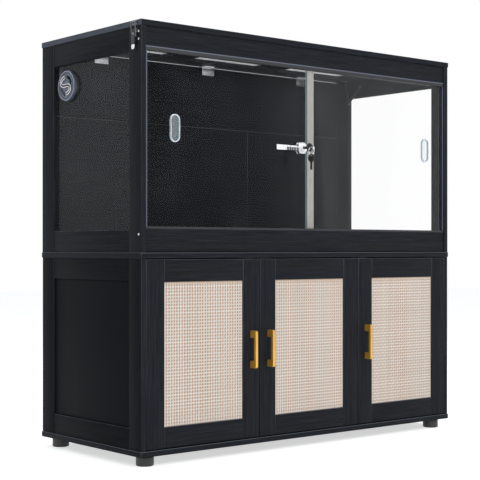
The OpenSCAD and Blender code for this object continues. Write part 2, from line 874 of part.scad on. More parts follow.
module stay_arm() {
  difference() {
    link_shape(-arm_x - stay_arm_t, stay_arm_t, stay_arm_w, [post_y, post_z], [elbow_y, elbow_z]);
    bar_x(-arm_x - stay_arm_t - cut, cut - arm_x, post_y, post_z, stay_pin_d + 2 * pin_clear);
  }
  bar_x(-arm_x - seam, stay_rivet_t - arm_x, elbow_y, elbow_z, stay_rivet_d);
}

module stay_link() {
  difference() {
    link_shape(-link_x - stay_arm_t, stay_arm_t, stay_arm_w, [elbow_y, elbow_z],
      [stay_lid_y_pos, stay_lid_z]);
    bar_x(-link_x - stay_arm_t - cut, cut - link_x, stay_lid_y_pos, stay_lid_z,
      stay_pin_d + 2 * pin_clear);
  }
  bar_x(-link_x - seam, stay_rivet_t - link_x, elbow_y, elbow_z, stay_rivet_d);
}

module stay_tab() {
  foot_l = 26;
  foot_w = 14;
  translate([-stay_tab_x - stay_tab_t, stay_lid_y_pos - foot_l / 2, z_lid - stay_tab_t])
    cube([foot_w, foot_l, stay_tab_t]);
  translate([-stay_tab_x - stay_tab_t, stay_lid_y_pos - stay_arm_w / 2, stay_lid_z])
    cube([stay_tab_t, stay_arm_w, stay_drop - stay_tab_t - seam]);
  bar_x(-stay_tab_x - stay_tab_t, -stay_tab_x, stay_lid_y_pos, stay_lid_z, stay_arm_w);
  bar_x(-link_x - stay_arm_t - play, -stay_tab_x, stay_lid_y_pos, stay_lid_z, stay_pin_d);
}

module stay_arm_left() {
  color(metal_color) stay_arm();
}

module stay_arm_right() {
  color(metal_color) mirror([1, 0, 0]) stay_arm();
}

module stay_link_left() {
  color(metal_color) stay_link();
}

module stay_link_right() {
  color(metal_color) mirror([1, 0, 0]) stay_link();
}

module lid_brackets() {
  color(metal_color) both_sides() {
    strike();
    stay_tab();
  }
}

// Vent: two curved slots in the housing's plate and in the cover that turns before it
vent_plate_t = 4;
vent_slot_r = 25;
vent_slot_w = 9;
vent_slot_half = 34;
vent_axle_d = 8;

module vent_slots(x0, x1) {
  far = vent_cover_d;
  for (a = [0, 180])
    rotate([a, 0, 0]) intersection() {
      difference() {
        translate([x0, 0, 0]) rotate([0, 90, 0])
          cylinder(h = x1 - x0, r = vent_slot_r + vent_slot_w / 2);
        translate([x0 - cut, 0, 0]) rotate([0, 90, 0])
          cylinder(h = x1 - x0 + 2 * cut, r = vent_slot_r - vent_slot_w / 2);
      }
      translate([x0 - cut, 0, 0]) rotate([90, 0, 90]) linear_extrude(x1 - x0 + 2 * cut)
        polygon([[0, 0], [far * cos(-45 - vent_slot_half), far * sin(-45 - vent_slot_half)],
          [2 * far * cos(-45), 2 * far * sin(-45)],
          [far * cos(vent_slot_half - 45), far * sin(vent_slot_half - 45)]]);
    }
}

module vent_housing() {
  face = -vent_flange_t;
  sleeve_l = 12;
  sleeve_wall = 3.5;
  nut_d = 78;
  nut_t = 6;
  recess_d = vent_cover_d + 2 * play;
  color(vent_color) translate([-vent_glass_x, vent_mid_y, vent_mid_z]) {
    difference() {
      union() {
        translate([face, 0, 0]) rotate([0, 90, 0])
          cylinder(h = vent_flange_t, d1 = vent_d - 4, d2 = vent_d);
        bar_x(-seam, sleeve_l, 0, 0, vent_sleeve_d);
      }
      bar_x(face - cut, -vent_plate_t, 0, 0, recess_d);
      bar_x(0, sleeve_l + cut, 0, 0, vent_sleeve_d - 2 * sleeve_wall);
      bar_x(face - cut, cut, 0, 0, vent_axle_d + 2 * pin_clear);
      vent_slots(-vent_plate_t - cut, cut);
    }
    difference() {
      bar_x(glass_t, glass_t + nut_t, 0, 0, nut_d);
      bar_x(glass_t - cut, glass_t + nut_t + cut, 0, 0, vent_sleeve_d + 2 * pin_clear);
    }
  }
}

module vent_cover() {
  cover_t = 3;
  grip_w = 9;
  grip_l = vent_cover_d - 14;
  grip_h = 3.5;
  x0 = -vent_plate_t - play - cover_t;
  color(vent_color) translate([-vent_glass_x, vent_mid_y, vent_mid_z]) {
    difference() {
      bar_x(x0, x0 + cover_t, 0, 0, vent_cover_d);
      vent_slots(x0 - cut, x0 + cover_t + cut);
    }
    bar_x(x0 + seam, 0, 0, 0, vent_axle_d);
    rotate([45, 0, 0]) translate([x0 - grip_h, -grip_l / 2, -grip_w / 2])
      cube([grip_h + seam, grip_l, grip_w]);
  }
}

module frame_screws() {
  head_t = 0.8;
  // Heights of the screws as shares of the fascia's and the front rail's height
  fascia_shares = [0.3, 0.7];
  rail_share = 0.75;
  heights = concat([for (s = fascia_shares) z_case - fascia_h * s],
    [z_floor + front_rail_h * rail_share]);
  color(metal_color) both_sides()
    for (z = heights) bar_x(-upper_x - head_t, -upper_x, y_front + screw_y, z, screw_head_d);
}

// Lid: six pieces round three openings, each with a rabbet for its mesh
module lid_board() {
  x_gap = mesh_pitch - mesh_w;
  end_w = (board_w - 2 * mesh_pitch - mesh_w) / 2;
  module lid_piece(x0, x1, y0, y1) {
    difference() {
      intersection() {
        translate([0, y_front + board_d / 2, z_lid]) bevelled(board_w, board_d, board_t);
        translate([x0, y0, z_lid - cut]) cube([x1 - x0, y1 - y0, board_t + 2 * cut]);
      }
      for (i = [-1:1])
        translate([i * mesh_pitch - mesh_w / 2 - rabbet_w, y_front + lid_margin - rabbet_w,
          z_top - rabbet_depth])
          cube([mesh_w + 2 * rabbet_w, mesh_d + 2 * rabbet_w, board_t]);
    }
  }
  inner_y0 = y_front + lid_margin;
  inner_y1 = y_rear - lid_margin;
  color(board_color) {
    lid_piece(-board_w / 2, board_w / 2, y_front, inner_y0);
    lid_piece(-board_w / 2, board_w / 2, inner_y1, y_rear);
    for (x = [-board_w / 2, board_w / 2 - end_w])
      lid_piece(x, x + end_w, inner_y0 + seam, inner_y1 - seam);
    for (s = [-1, 1])
      lid_piece(s * mesh_pitch / 2 - x_gap / 2, s * mesh_pitch / 2 + x_gap / 2,
        inner_y0 + seam, inner_y1 - seam);
  }
}

module lid_mesh() {
  edge = rabbet_w - play;
  px = (mesh_w + mesh_bar) / mesh_nx;
  py = (mesh_d + mesh_bar) / mesh_ny;
  // Wires along Y lie in the lower half of the thickness, wires along X in the upper half
  wire_t = mesh_t / 2 - seam;
  module strip(x, y, w, d, z, t) {
    translate([x, y, z]) cube([w, d, t]);
  }
  module net() {
    for (x = [-edge, mesh_w]) strip(x, -edge, edge, mesh_d + 2 * edge, 0, mesh_t);
    for (y = [-edge, mesh_d]) strip(seam, y, mesh_w - 2 * seam, edge, 0, mesh_t);
    for (a = [1:mesh_nx - 1])
      strip(a * px - mesh_bar, seam, mesh_bar, mesh_d - 2 * seam, 0, wire_t);
    for (b = [1:mesh_ny - 1])
      strip(seam, b * py - mesh_bar, mesh_w - 2 * seam, mesh_bar, mesh_t - wire_t, wire_t);
  }
  color(metal_color)
    for (i = [-1:1])
      translate([i * mesh_pitch - mesh_w / 2, y_front + lid_margin, z_top - rabbet_depth]) net();
}

// Sliding doors
pull_open_w = pull_w - 2 * pull_rim;
pull_open_h = pull_h - 2 * pull_rim;
rear_pull_mid_z = z_floor + pull_z_rear;
front_pull_mid_z = z_floor + pull_z_front;
rear_pull_x = pull_inset_rear - pane_edge;
front_pull_x = pane_edge - pull_inset_front;

// A pane from x0 to x1 whose front face is at y0, with the hole for its pull at x and z
module pane(x0, x1, y0, x, z) {
  difference() {
    translate([x0, y0, pane_z0]) cube([x1 - x0, glass_t, pane_z1 - pane_z0]);
    translate([x, y0 + glass_t + cut, z]) rotate([90, 0, 0])
      linear_extrude(glass_t + 2 * cut) stadium(pull_open_w, pull_open_h);
  }
}

// A finger pull through the pane, with a rim on each face
module pull(x, y0, z) {
  cup_play = play;
  cup_wall = 1.2;
  cup_depth_in = glass_t - 0.2;
  module slab(y, t, w, h) {
    translate([x, y + t, z]) rotate([90, 0, 0]) linear_extrude(t) stadium(w, h);
  }
  difference() {
    union() {
      slab(y0 - pull_rim_t, pull_rim_t, pull_w, pull_h);
      slab(y0 - seam, glass_t + 2 * seam, pull_open_w - 2 * cup_play, pull_open_h - 2 * cup_play);
      slab(y0 + glass_t, pull_rim_t, pull_w, pull_h);
    }
    slab(y0 - pull_rim_t - cut, cup_depth_in + cut, pull_open_w - 2 * (cup_play + cup_wall),
      pull_open_h - 2 * (cup_play + cup_wall));
  }
}

module glass_door_left() {
  color(glass_color) pane(-pane_edge, rear_pane_edge, y_rear_pane, rear_pull_x, rear_pull_mid_z);
}

module glass_door_right() {
  color(glass_color) pane(front_pane_edge, pane_edge, y_front_pane, front_pull_x, front_pull_mid_z);
}

module glass_pull_left() {
  color(clear_color) pull(rear_pull_x, y_rear_pane, rear_pull_mid_z);
}

module glass_pull_right() {
  color(clear_color) pull(front_pull_x, y_front_pane, front_pull_mid_z);
}

strip_edge = rear_pane_edge + dust_strip_wall;
strip_end = 0.5;

module dust_strip() {
  z0 = track_low_top + strip_end;
  z1 = track_top_z - strip_end;
  w = dust_strip_wall;
  color(clear_color)
    difference() {
      translate([strip_edge - dust_strip_w, y_rear_pane - w, z0])
        cube([dust_strip_w, glass_t + 2 * w, z1 - z0]);
      translate([strip_edge - dust_strip_w - cut, y_rear_pane, z0 - cut])
        cube([dust_strip_w + cut - w, glass_t, z1 - z0 + 2 * cut]);
    }
}

// Glass lock: the bar hooks round the rear pane's edge, the lock body rides on the bar
lock_mid_z = z_floor + lock_z;
bar_y0 = y_front + bar_front_d;
bar_x0 = rear_pane_edge - bar_l;
lock_x1 = front_pane_edge - lock_gap;
lock_x = lock_x1 - lock_w / 2;

module lock_bar() {
  pad_w = 18;
  hook_lip = 8;
  x1 = strip_edge + bar_t;
  y_strip = y_rear_pane - dust_strip_wall;
  y_behind = y_rear_pane + glass_t + dust_strip_wall;
  tooth_n = 12;
  tooth_pitch = bar_teeth_l / tooth_n;
  tooth_cut = 1.2;
  smooth_l = lock_x - lock_w / 2 - bar_x0 - bar_teeth_l;
  z0 = lock_mid_z - bar_h / 2;
  color(metal_color) {
    difference() {
      translate([bar_x0, bar_y0, z0]) cube([x1 - bar_x0, bar_t, bar_h]);
      for (i = [0:tooth_n - 1])
        translate([bar_x0 + smooth_l + i * tooth_pitch, bar_y0 - cut, z0 + bar_h - tooth_cut])
          cube([tooth_pitch / 2, bar_t + 2 * cut, tooth_cut + cut]);
    }
    translate([strip_edge - pad_w, bar_y0 + bar_t + seam, z0])
      cube([pad_w, y_strip - bar_y0 - bar_t - 2 * seam, bar_h]);
    translate([strip_edge + seam, bar_y0 + bar_t + seam, z0])
      cube([bar_t - seam, y_behind - bar_y0, bar_h]);
    translate([strip_edge - hook_lip, y_behind + seam, z0]) cube([hook_lip, bar_t, bar_h]);
  }
}

plug_l = lock_block + barrel_l - 3;

// Lock body: a front block with the barrel, a jaw behind the bar, and a bridge above and below
module lock_body() {
  slot_y0 = bar_y0 - lock_play;
  slot_y1 = bar_y0 + bar_t + lock_play;
  y_block = bar_y0 - lock_block;
  y_nose = y_block - barrel_l;
  bridge_h = lock_h / 2 - bar_h / 2 - play;
  module block(y0, y1, z0, h) {
    translate([lock_x1 - lock_w, y0, z0]) cube([lock_w, y1 - y0, h]);
  }
  color(metal_color) {
    difference() {
      union() {
        block(y_block, slot_y0, lock_mid_z - lock_h / 2, lock_h);
        bar_y(y_nose, y_block + seam, lock_x, lock_mid_z, barrel_d);
      }
      bar_y(y_nose - cut, y_nose + plug_l + play, lock_x, lock_mid_z, plug_d + 2 * pin_clear);
    }
    block(slot_y1, slot_y1 + lock_back_t, lock_mid_z - lock_h / 2, lock_h);
    for (z = [lock_mid_z - lock_h / 2, lock_mid_z + lock_h / 2 - bridge_h])
      block(slot_y0 + seam, slot_y1 - seam, z, bridge_h);
  }
}

module lock_plug() {
  y_nose = bar_y0 - lock_block - barrel_l;
  proud = 0.6;
  slot = play;
  color(metal_color) difference() {
    bar_y(y_nose - proud, y_nose + plug_l, lock_x, lock_mid_z, plug_d);
    translate([lock_x - blade_t / 2 - slot / 2, y_nose - proud - cut,
      lock_mid_z - blade_w / 2 - slot / 2])
      cube([blade_t + slot, blade_l + proud + cut + slot, blade_w + slot]);
  }
}

// A key in the Y-Z plane: the bow's middle at the origin, the blade towards +Y
module key_shape(blade) {
  difference() {
    union() {
      bar_x(-bow_t / 2, bow_t / 2, 0, 0, bow_d);
      translate([-blade_t / 2, bow_d / 2 - 3, -blade_w / 2])
        cube([blade_t, blade + 3, blade_w]);
      translate([-bow_t / 2, bow_d / 2 - 3, -blade_w / 2 - 1])
        cube([bow_t, 3 + 3, blade_w + 2]);
    }
    bar_x(-bow_t / 2 - cut, bow_t / 2 + cut, -bow_hole_off, 0, bow_hole_d);
  }
}

key_y = y_front + bow_d_pos;
key_hole_y = key_y - bow_hole_off;
// Room between ring and key where the one hangs on the other
ring_rest = 0.2;
ring_drop = bow_hole_d / 2 - ring_wire / 2 - ring_rest;
ring_top_z = lock_mid_z - ring_drop;
ring_low_z = ring_top_z - ring_d;

module key() {
  color(black_color) translate([lock_x, key_y, lock_mid_z]) key_shape(key_neck + blade_l);
}

module key_ring() {
  color(metal_color) translate([lock_x, key_hole_y, ring_top_z - ring_d / 2])
    rotate([90, 0, 0]) rotate_extrude() translate([ring_d / 2, 0]) circle(d = ring_wire);
}

module spare_key() {
  color(black_color)
    translate([lock_x, key_hole_y, ring_low_z - ring_drop - bow_hole_off])
      rotate([-90, 0, 0]) key_shape(key_neck + blade_l);
}

// Rattan doors
module door_frame(i) {
  x0 = door_x(i);
  h = door_z1 - door_z0;
  rail_x = x0 + door_stile_w + seam;
  rail_w = door_w - 2 * (door_stile_w + seam);
  module groove() {
    translate([x0 + door_stile_w - groove_depth, lower_y0 + sheet_recess - play,
      door_z0 + door_rail_low_h - groove_depth])
      cube([door_w - 2 * (door_stile_w - groove_depth), rattan_t + 2 * play,
        h - door_rail_top_h - door_rail_low_h + 2 * groove_depth]);
  }
  module door_rail(z, rail_h) {
    difference() {
      translate([rail_x, lower_y0 + rail_setback / 2, z])
        cube([rail_w, board_t - rail_setback / 2, rail_h]);
      groove();
    }
  }
  module door_stile(x) {
    difference() {
      translate([x, lower_y0, door_z0]) cube([door_stile_w, board_t, h]);
      groove();
      for (z = [door_z0 + hinge_end, door_z1 - hinge_end])
        bar_y(door_rear - cup_depth - play, door_rear + cut, cup_x(i), z, cup_d + 2 * play);
    }
  }
  color(board_color) {
    door_stile(x0);
    door_stile(x0 + door_w - door_stile_w);
    door_rail(door_z0, door_rail_low_h);
    door_rail(door_z1 - door_rail_top_h, door_rail_top_h);
  }
}

module door_rattan(i) {
  reach = groove_depth - play;
  color(rattan_color)
    translate([door_x(i) + door_stile_w - reach, lower_y0 + sheet_recess,
      door_z0 + door_rail_low_h - reach])
      cube([door_w - 2 * (door_stile_w - reach), rattan_t,
        door_z1 - door_z0 - door_rail_top_h - door_rail_low_h + 2 * reach]);
}

module door_handle(i) {
  out = handle_gap + handle_bar;
  mid_z = door_z0 + door_rail_low_h + handle_z;
  module corner_block(z, s) {
    // Leg and bar meet in a rounded corner
    translate([handle_round - out, z]) square([out - handle_round, handle_leg]);
    translate([-out, z + (s > 0 ? 0 : handle_round)]) square([out, handle_leg - handle_round]);
    translate([handle_round - out, z + (s > 0 ? handle_leg - handle_round : handle_round)])
      circle(r = handle_round);
  }
  color(brass_color)
    translate([handle_x(i) - handle_w / 2, lower_y0, mid_z]) rotate([90, 0, 90])
      linear_extrude(handle_w) {
        translate([-out, handle_leg - handle_l / 2])
          square([handle_bar, handle_l - 2 * handle_leg]);
        corner_block(handle_l / 2 - handle_leg, 1);
        corner_block(-handle_l / 2, -1);
      }
}

module door_fittings(i) {
  flange_w = 22;
  flange_h = 60;
  plate_w = 30;
  plate_h = 12;
  cup_wall = 1;
  color(metal_color) {
    for (z = [door_z0 + hinge_end, door_z1 - hinge_end])
      difference() {
        union() {
          bar_y(door_rear - cup_depth, door_rear + seam, cup_x(i), z, cup_d);
          translate([cup_x(i) - flange_w / 2, door_rear, z - flange_h / 2])
            cube([flange_w, plate_t, flange_h]);
        }
        bar_y(door_rear - cup_depth + cup_wall, door_rear + plate_t + cut, cup_x(i), z,
          cup_d - 2 * cup_wall);
      }
    translate([handle_x(i) - plate_w / 2, door_rear, door_z1 - plate_h - 1])
      cube([plate_w, plate_t, plate_h]);
  }
}

module door_left_frame() {
  door_frame(0);
}

module door_middle_frame() {
  door_frame(1);
}

module door_right_frame() {
  door_frame(2);
}

module door_left_rattan() {
  door_rattan(0);
}

module door_middle_rattan() {
  door_rattan(1);
}

module door_right_rattan() {
  door_rattan(2);
}

module door_left_handle() {
  door_handle(0);
}

module door_middle_handle() {
  door_handle(1);
}

module door_right_handle() {
  door_handle(2);
}

module door_left_fittings() {
  door_fittings(0);
}

module door_middle_fittings() {
  door_fittings(1);
}

module door_right_fittings() {
  door_fittings(2);
}

feet();
bottom_board();
lower_left_frame();
lower_right_frame();
lower_side_panels();
lower_back();
partition();
door_hinge_arms();
door_catches();
mid_board();
upper_left_frame();
upper_right_frame();
side_glass();
front_fascia();
front_rail();
glass_tracks();
side_channels();
back_boards();
lid_hinge_lower_leaves();
latch_bases();
stay_posts();
vent_housing();
vent_cover();
frame_screws();
lid_board();
lid_mesh();
lid_hinge_upper_leaves();
lid_brackets();
latch_lever_left();
latch_lever_right();
latch_loop_left();
latch_loop_right();
stay_arm_left();
stay_arm_right();
stay_link_left();
stay_link_right();
glass_door_left();
glass_door_right();
glass_pull_left();
glass_pull_right();
dust_strip();
lock_bar();
lock_body();
lock_plug();
key();
key_ring();
spare_key();
door_left_frame();
door_middle_frame();
door_right_frame();
door_left_rattan();
door_middle_rattan();
door_right_rattan();
door_left_handle();
door_middle_handle();
door_right_handle();
door_left_fittings();
door_middle_fittings();
door_right_fittings();
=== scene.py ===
import json
import math
import bpy
import numpy as np
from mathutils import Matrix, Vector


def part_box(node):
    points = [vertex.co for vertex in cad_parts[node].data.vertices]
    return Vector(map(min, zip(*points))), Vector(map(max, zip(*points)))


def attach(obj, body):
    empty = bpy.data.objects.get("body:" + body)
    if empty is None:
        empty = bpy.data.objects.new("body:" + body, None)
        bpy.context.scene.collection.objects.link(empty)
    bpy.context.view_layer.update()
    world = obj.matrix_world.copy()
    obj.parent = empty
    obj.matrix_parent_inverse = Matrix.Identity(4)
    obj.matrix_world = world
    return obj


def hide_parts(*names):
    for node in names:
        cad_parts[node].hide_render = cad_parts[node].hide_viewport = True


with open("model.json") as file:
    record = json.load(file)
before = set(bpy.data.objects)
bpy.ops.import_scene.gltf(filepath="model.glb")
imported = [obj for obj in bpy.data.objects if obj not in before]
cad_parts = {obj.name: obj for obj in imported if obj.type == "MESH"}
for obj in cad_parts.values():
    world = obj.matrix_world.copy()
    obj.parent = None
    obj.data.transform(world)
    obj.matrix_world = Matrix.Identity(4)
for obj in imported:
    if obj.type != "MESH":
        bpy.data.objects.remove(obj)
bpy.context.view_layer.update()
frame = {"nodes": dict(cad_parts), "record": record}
nodes = frame["nodes"]
MM = 0.001

# The boards, in millimetres: their front and rear edges, their size, and the levels they lie at
Y_FRONT, Y_REAR = -228.5417, 271.4583
BOARD_W, BOARD_T = 1200.0, 15.0
Z_FOOT, Z_LOWER, Z_MID, Z_FLOOR, Z_CASE, Z_TOP = 28.0, 43.0, 546.0, 561.0, 1153.0, 1168.3

# The base below and the case above: the outer and inner faces of their sides, and their fronts and rears
LOWER_X, LOWER_IN, UPPER_X, UPPER_IN = 598.0, 583.0, 598.5, 583.5
LOWER_Y0, LOWER_Y1 = Y_FRONT + 2.0, Y_REAR - 2.0
UPPER_Y0, UPPER_Y1 = Y_FRONT + 1.5, Y_REAR - 1.5
FRONT_STILE, REAR_STILE = 56.0, 62.0
LOWER_RAILS, UPPER_RAILS = (59.0, 56.0), (62.0, 60.0)
FASCIA_H, RAIL_H, FASCIA_Y = 51.0, 64.0, Y_FRONT + 5.5
SIDES = (("left", -1), ("right", 1))

# The three doors: the gap round each, their stiles and rails, and the cane in them
DOORS = ("left", "middle", "right")
DOOR_GAP, DOOR_STILE, DOOR_LOW_RAIL, DOOR_TOP_RAIL = 3.0, 58.0, 55.0, 59.5
DOOR_W = (2 * LOWER_IN - 3 * DOOR_GAP) / 3
DOOR_Z0, DOOR_Z1 = Z_LOWER + DOOR_GAP, Z_MID - DOOR_GAP
CANE_PITCH, CANE_Y = 8.69, LOWER_Y0 + 4.0

# The lid's three openings: half their width, their pitch, and the strips in front of and behind them
LID_HALF, LID_PITCH, LID_STRIP = 141.0, 370.5, 84.0

# The vent in the left pane, whose outer face is VENT_X, and the lock on the panes
VENT_X, VENT_Y, VENT_Z = -593.0, Y_REAR - 134.0, Z_CASE - 122.0
SLEEVE_R = 32.5
COVER_X = VENT_X - 4.0 - 0.3 - 3.0
LOCK_X, LOCK_Z = -32.0, Z_FLOOR + 301.0


# ---------------------------------------------------------------- camera

# The photograph's width, the camera's focal length and the horizon's offset, in its pixels
PHOTO_PX, FOCAL_PX, SHIFT_PX = 480.0, 1239.68, 9.713


def make_camera():
    """A level camera at the photograph's place: 93 mm lens on a 36 mm sensor, turned 39.7 degrees."""
    data = bpy.data.cameras.new("camera")
    data.sensor_width = 36.0
    data.lens = FOCAL_PX / PHOTO_PX * data.sensor_width
    data.shift_y = SHIFT_PX / PHOTO_PX
    data.clip_end = 60.0
    camera = bpy.data.objects.new("camera", data)
    camera.location = (-2.45231, -2.86419, 0.56878)
    camera.rotation_euler = (math.radians(90.0), 0.0, math.radians(-39.6582))
    bpy.context.scene.collection.objects.link(camera)
    bpy.context.scene.camera = camera


make_camera()


# ---------------------------------------------------------------- shader expressions

class Value:
    """A shader socket that Python's operators work on: each operator adds one Math node."""

    def __init__(self, finish, socket):
        self.finish, self.socket = finish, socket

    def _math(self, operation, *values):
        return self.finish.node("ShaderNodeMath", {"operation": operation}, *values)

    def __add__(self, other):
        return self._math("ADD", self, other)

    def __sub__(self, other):
        return self._math("SUBTRACT", self, other)

    def __rsub__(self, other):
        return self._math("SUBTRACT", other, self)

    def __mul__(self, other):
        return self._math("MULTIPLY", self, other)

    def __truediv__(self, other):
        return self._math("DIVIDE", self, other)

    def __gt__(self, other):
        return self._math("GREATER_THAN", self, other)

    def __lt__(self, other):
        return self._math("LESS_THAN", self, other)

    __radd__, __rmul__ = __add__, __mul__

    def sine(self):
        return self._math("SINE", self)

    def size(self):
        return self._math("ABSOLUTE", self)

    def power(self, exponent):
        return self._math("POWER", self, exponent)

    def smooth(self, low, high):
        """0 below low, 1 above high, smooth between."""
        step = {"interpolation_type": "SMOOTHSTEP", "clamp": True}
        return self.finish.node("ShaderNodeMapRange", step, self, low, high, 0.0, 1.0)

    def largest(self, other):
        return self._math("MAXIMUM", self, other)


class Finish:
    """One material: a Principled shader, and nodes added by expressions."""

    def __init__(self, name, **constants):
        self.material = bpy.data.materials.new(name)
        self.material.use_nodes = True
        self.tree = self.material.node_tree
        self.shader = next(n for n in self.tree.nodes if n.type == "BSDF_PRINCIPLED")
        for socket, value in constants.items():
            self.shader.inputs[socket.replace("_", " ")].default_value = value

    def node(self, kind, settings=None, *values, **named):
        """Adds a node: its settings first, then the values or links of its sockets."""
        made = self.tree.nodes.new(kind)
        for key, value in (settings or {}).items():
            if key == "stops":
                ramp = made.color_ramp
                while len(ramp.elements) < len(value):
                    ramp.elements.new(0.5)
                for element, (place, color) in zip(ramp.elements, value):
                    element.position, element.color = place, (*color, 1.0)[:4]
            else:
                setattr(made, key, value)
        pairs = [(made.inputs[i], v) for i, v in enumerate(values) if v is not None]
        pairs += [(made.inputs[k.replace("_", " ")], v) for k, v in named.items()]
        for socket, value in pairs:
            if isinstance(value, Value):
                self.tree.links.new(value.socket, socket)
            else:
                socket.default_value = value
        return Value(self, made.outputs[0])

    def place(self, kind="Object"):
        return Value(self, self.tree.nodes.new("ShaderNodeTexCoord").outputs[kind])

    def parts(self, vector):
        """The three numbers of a vector."""
        split = self.node("ShaderNodeSeparateXYZ", None, vector)
        return [Value(self, split.socket.node.outputs[i]) for i in range(3)]

    def vector(self, x=0.0, y=0.0, z=0.0):
        return self.node("ShaderNodeCombineXYZ", None, x, y, z)

    def noise(self, where, scale, detail=3.0, rough=0.55):
        return self.node("ShaderNodeTexNoise", {"noise_dimensions": "3D"}, Vector=where, Scale=scale,
                         Detail=detail, Roughness=rough)

    def stretched(self, where, factors, scale, detail=3.0, rough=0.55):
        """Noise on coordinates that are first multiplied, so that it runs in streaks."""
        wide = self.node("ShaderNodeVectorMath", {"operation": "MULTIPLY"}, where, factors)
        return self.noise(wide, scale, detail, rough)

    def blend(self, share, first, second):
        """A colour between two colours."""
        made = self.tree.nodes.new("ShaderNodeMix")
        made.data_type, made.clamp_factor = "RGBA", True
        for socket, value in ((made.inputs[0], share), (made.inputs[6], first), (made.inputs[7], second)):
            if isinstance(value, Value):
                self.tree.links.new(value.socket, socket)
            elif socket == made.inputs[0]:
                socket.default_value = value
            else:
                socket.default_value = (*value, 1.0)[:4]
        return Value(self, made.outputs[2])

    def ramp(self, value, *stops):
        return self.node("ShaderNodeValToRGB", {"stops": stops}, value)

    def bump(self, height, strength, distance):
        made = self.tree.nodes.new("ShaderNodeBump")
        made.inputs["Strength"].default_value = strength
        made.inputs["Distance"].default_value = distance
        self.tree.links.new(height.socket, made.inputs["Height"])
        return Value(self, made.outputs[0])

    def set(self, **links):
        for socket, value in links.items():
            self.tree.links.new(value.socket, self.shader.inputs[socket.replace("_", " ")])
        return self.material


# ---------------------------------------------------------------- finishes

def charcoal_laminate(name, lid=False, side_shade=0.0, grain=1.0):
    """Charcoal board: streaks and pores along the grain (U), light and dark lines across it (V), and a
    painted highlight along its eased edges, most on those that face up.

    The broad faces across X carry painted shade, darker by a given share, and grain is the strength of the
    lines. The lid's grain runs along X in its front and rear strips and along Y between them, and its end
    edges carry painted light, a lighter band.
    """
    f = Finish(name, Roughness=0.5, Specular_IOR_Level=0.025)
    uv = f.place("UV")
    if lid:
        x, y, z = f.parts(f.place())
        half = (Y_REAR - Y_FRONT) / 2 - LID_STRIP
        between = (y - (Y_REAR + Y_FRONT) / 2 * MM).size() < half * MM
        along = x * (1.0 - between) + y * between
        across = y * (1.0 - between) + x * between + z * 1.31
        uv = f.vector(along, across)
    streak = f.stretched(uv, (9.0, 520.0, 1.0), 1.0, 4.0, 0.65)
    line = f.stretched(uv, (2.2, 130.0, 1.0), 1.0, 2.0, 0.5)
    pore = f.stretched(uv, (40.0, 1300.0, 1.0), 1.0, 2.0, 0.5)
    band = f.stretched(uv, (1.2, 24.0, 1.0), 1.0, 2.0, 0.5)
    tone = f.ramp(streak, (0.34, (0.0063, 0.0075, 0.0098)), (0.50, (0.0132, 0.0150, 0.0186)),
                  (0.66, (0.0266, 0.0289, 0.0340)))
    tone = f.blend(line.smooth(0.54, 0.64) * (0.26 * grain), tone, (0.0260, 0.0280, 0.0330))
    tone = f.blend((1.0 - line.smooth(0.36, 0.46)) * (0.32 * grain), tone, (0.0040, 0.0045, 0.0058))
    tone = f.blend(1.0 - 0.75 * grain, tone, (0.0130, 0.0155, 0.0192))
    tone = f.blend(band.smooth(0.42, 0.66) * 0.20, tone, (0.0175, 0.0170, 0.0170))
    pores = pore.smooth(0.58, 0.68)
    tone = f.blend(pores * 0.55, tone, (0.0035, 0.0038, 0.0046))
    normal = f.parts(f.place("Normal"))
    nx, ny, nz = (part.size() for part in normal)
    # Painted highlight: the eased edges lighter, most where they face up
    highlight_bevel = 1.0 - nx.largest(ny).largest(nz)
    highlight_facing_up = normal[2].smooth(-0.4, 0.6)
    # Painted shade: the broad faces across X darker by a given share
    if side_shade:
        tone = f.blend(nx.smooth(0.5, 0.9) * side_shade, tone, (0.0, 0.0, 0.0))
    tone = f.blend(highlight_bevel.smooth(0.05, 0.22) * highlight_facing_up * 0.85, tone, (0.20, 0.216, 0.258))
    if lid:
        # Painted light: the lid's end edges lighter
        end = x.size() > (BOARD_W / 2 - 1.0) * MM
        tone = f.blend(end * (streak.smooth(0.3, 0.7) * 0.5 + 0.5), tone, (0.085, 0.095, 0.120))
    height = streak * 0.5 + line * 0.5 - pores * 0.4
    rough = streak * 0.16 + band * 0.10 + 0.38
    return f.set(Base_Color=tone, Roughness=rough, Normal=f.bump(height, 0.30, 0.0003))


def clear_glass(name, axis, mirror):
    """A pane across an axis: it mirrors a share of its Fresnel factor, is clear otherwise, and its cut
    edges are teal."""
    f = Finish(name, IOR=1.5, Roughness=0.02)
    facing = f.parts(f.place("Normal"))[axis].size()
    edge = facing < 0.5
    fresnel = f.node("ShaderNodeFresnel", None, 1.45)
    smear = f.noise(f.place(), 6.0, 3.0).smooth(0.45, 0.75)
    alpha = fresnel * mirror + smear * 0.003
    alpha = alpha * (1.0 - edge) + edge * 0.85
    color = f.blend(edge, (0.90, 0.95, 0.95), (0.16, 0.44, 0.42))
    return f.set(Base_Color=color, Alpha=alpha, Metallic=1.0 - edge, Roughness=smear * 0.03 + 0.02)


def bright_metal(name, tone, dark, rough=0.22, metal=1.0):
    """Plated metal: a light tone with faint wear, fine scratches in its roughness."""
    f = Finish(name, Metallic=metal, Roughness=rough)
    where = f.place()
    wear = f.noise(where, 160.0, 4.0, 0.6)
    scratch = f.stretched(where, (1.0, 1.0, 14.0), 300.0, 2.0)
    color = f.blend(wear.smooth(0.50, 0.80) * 0.6, tone, dark)
    return f.set(Base_Color=color, Roughness=scratch * 0.12 + wear * 0.10 + (rough - 0.10),
                 Normal=f.bump(scratch, 0.08, 0.0002))


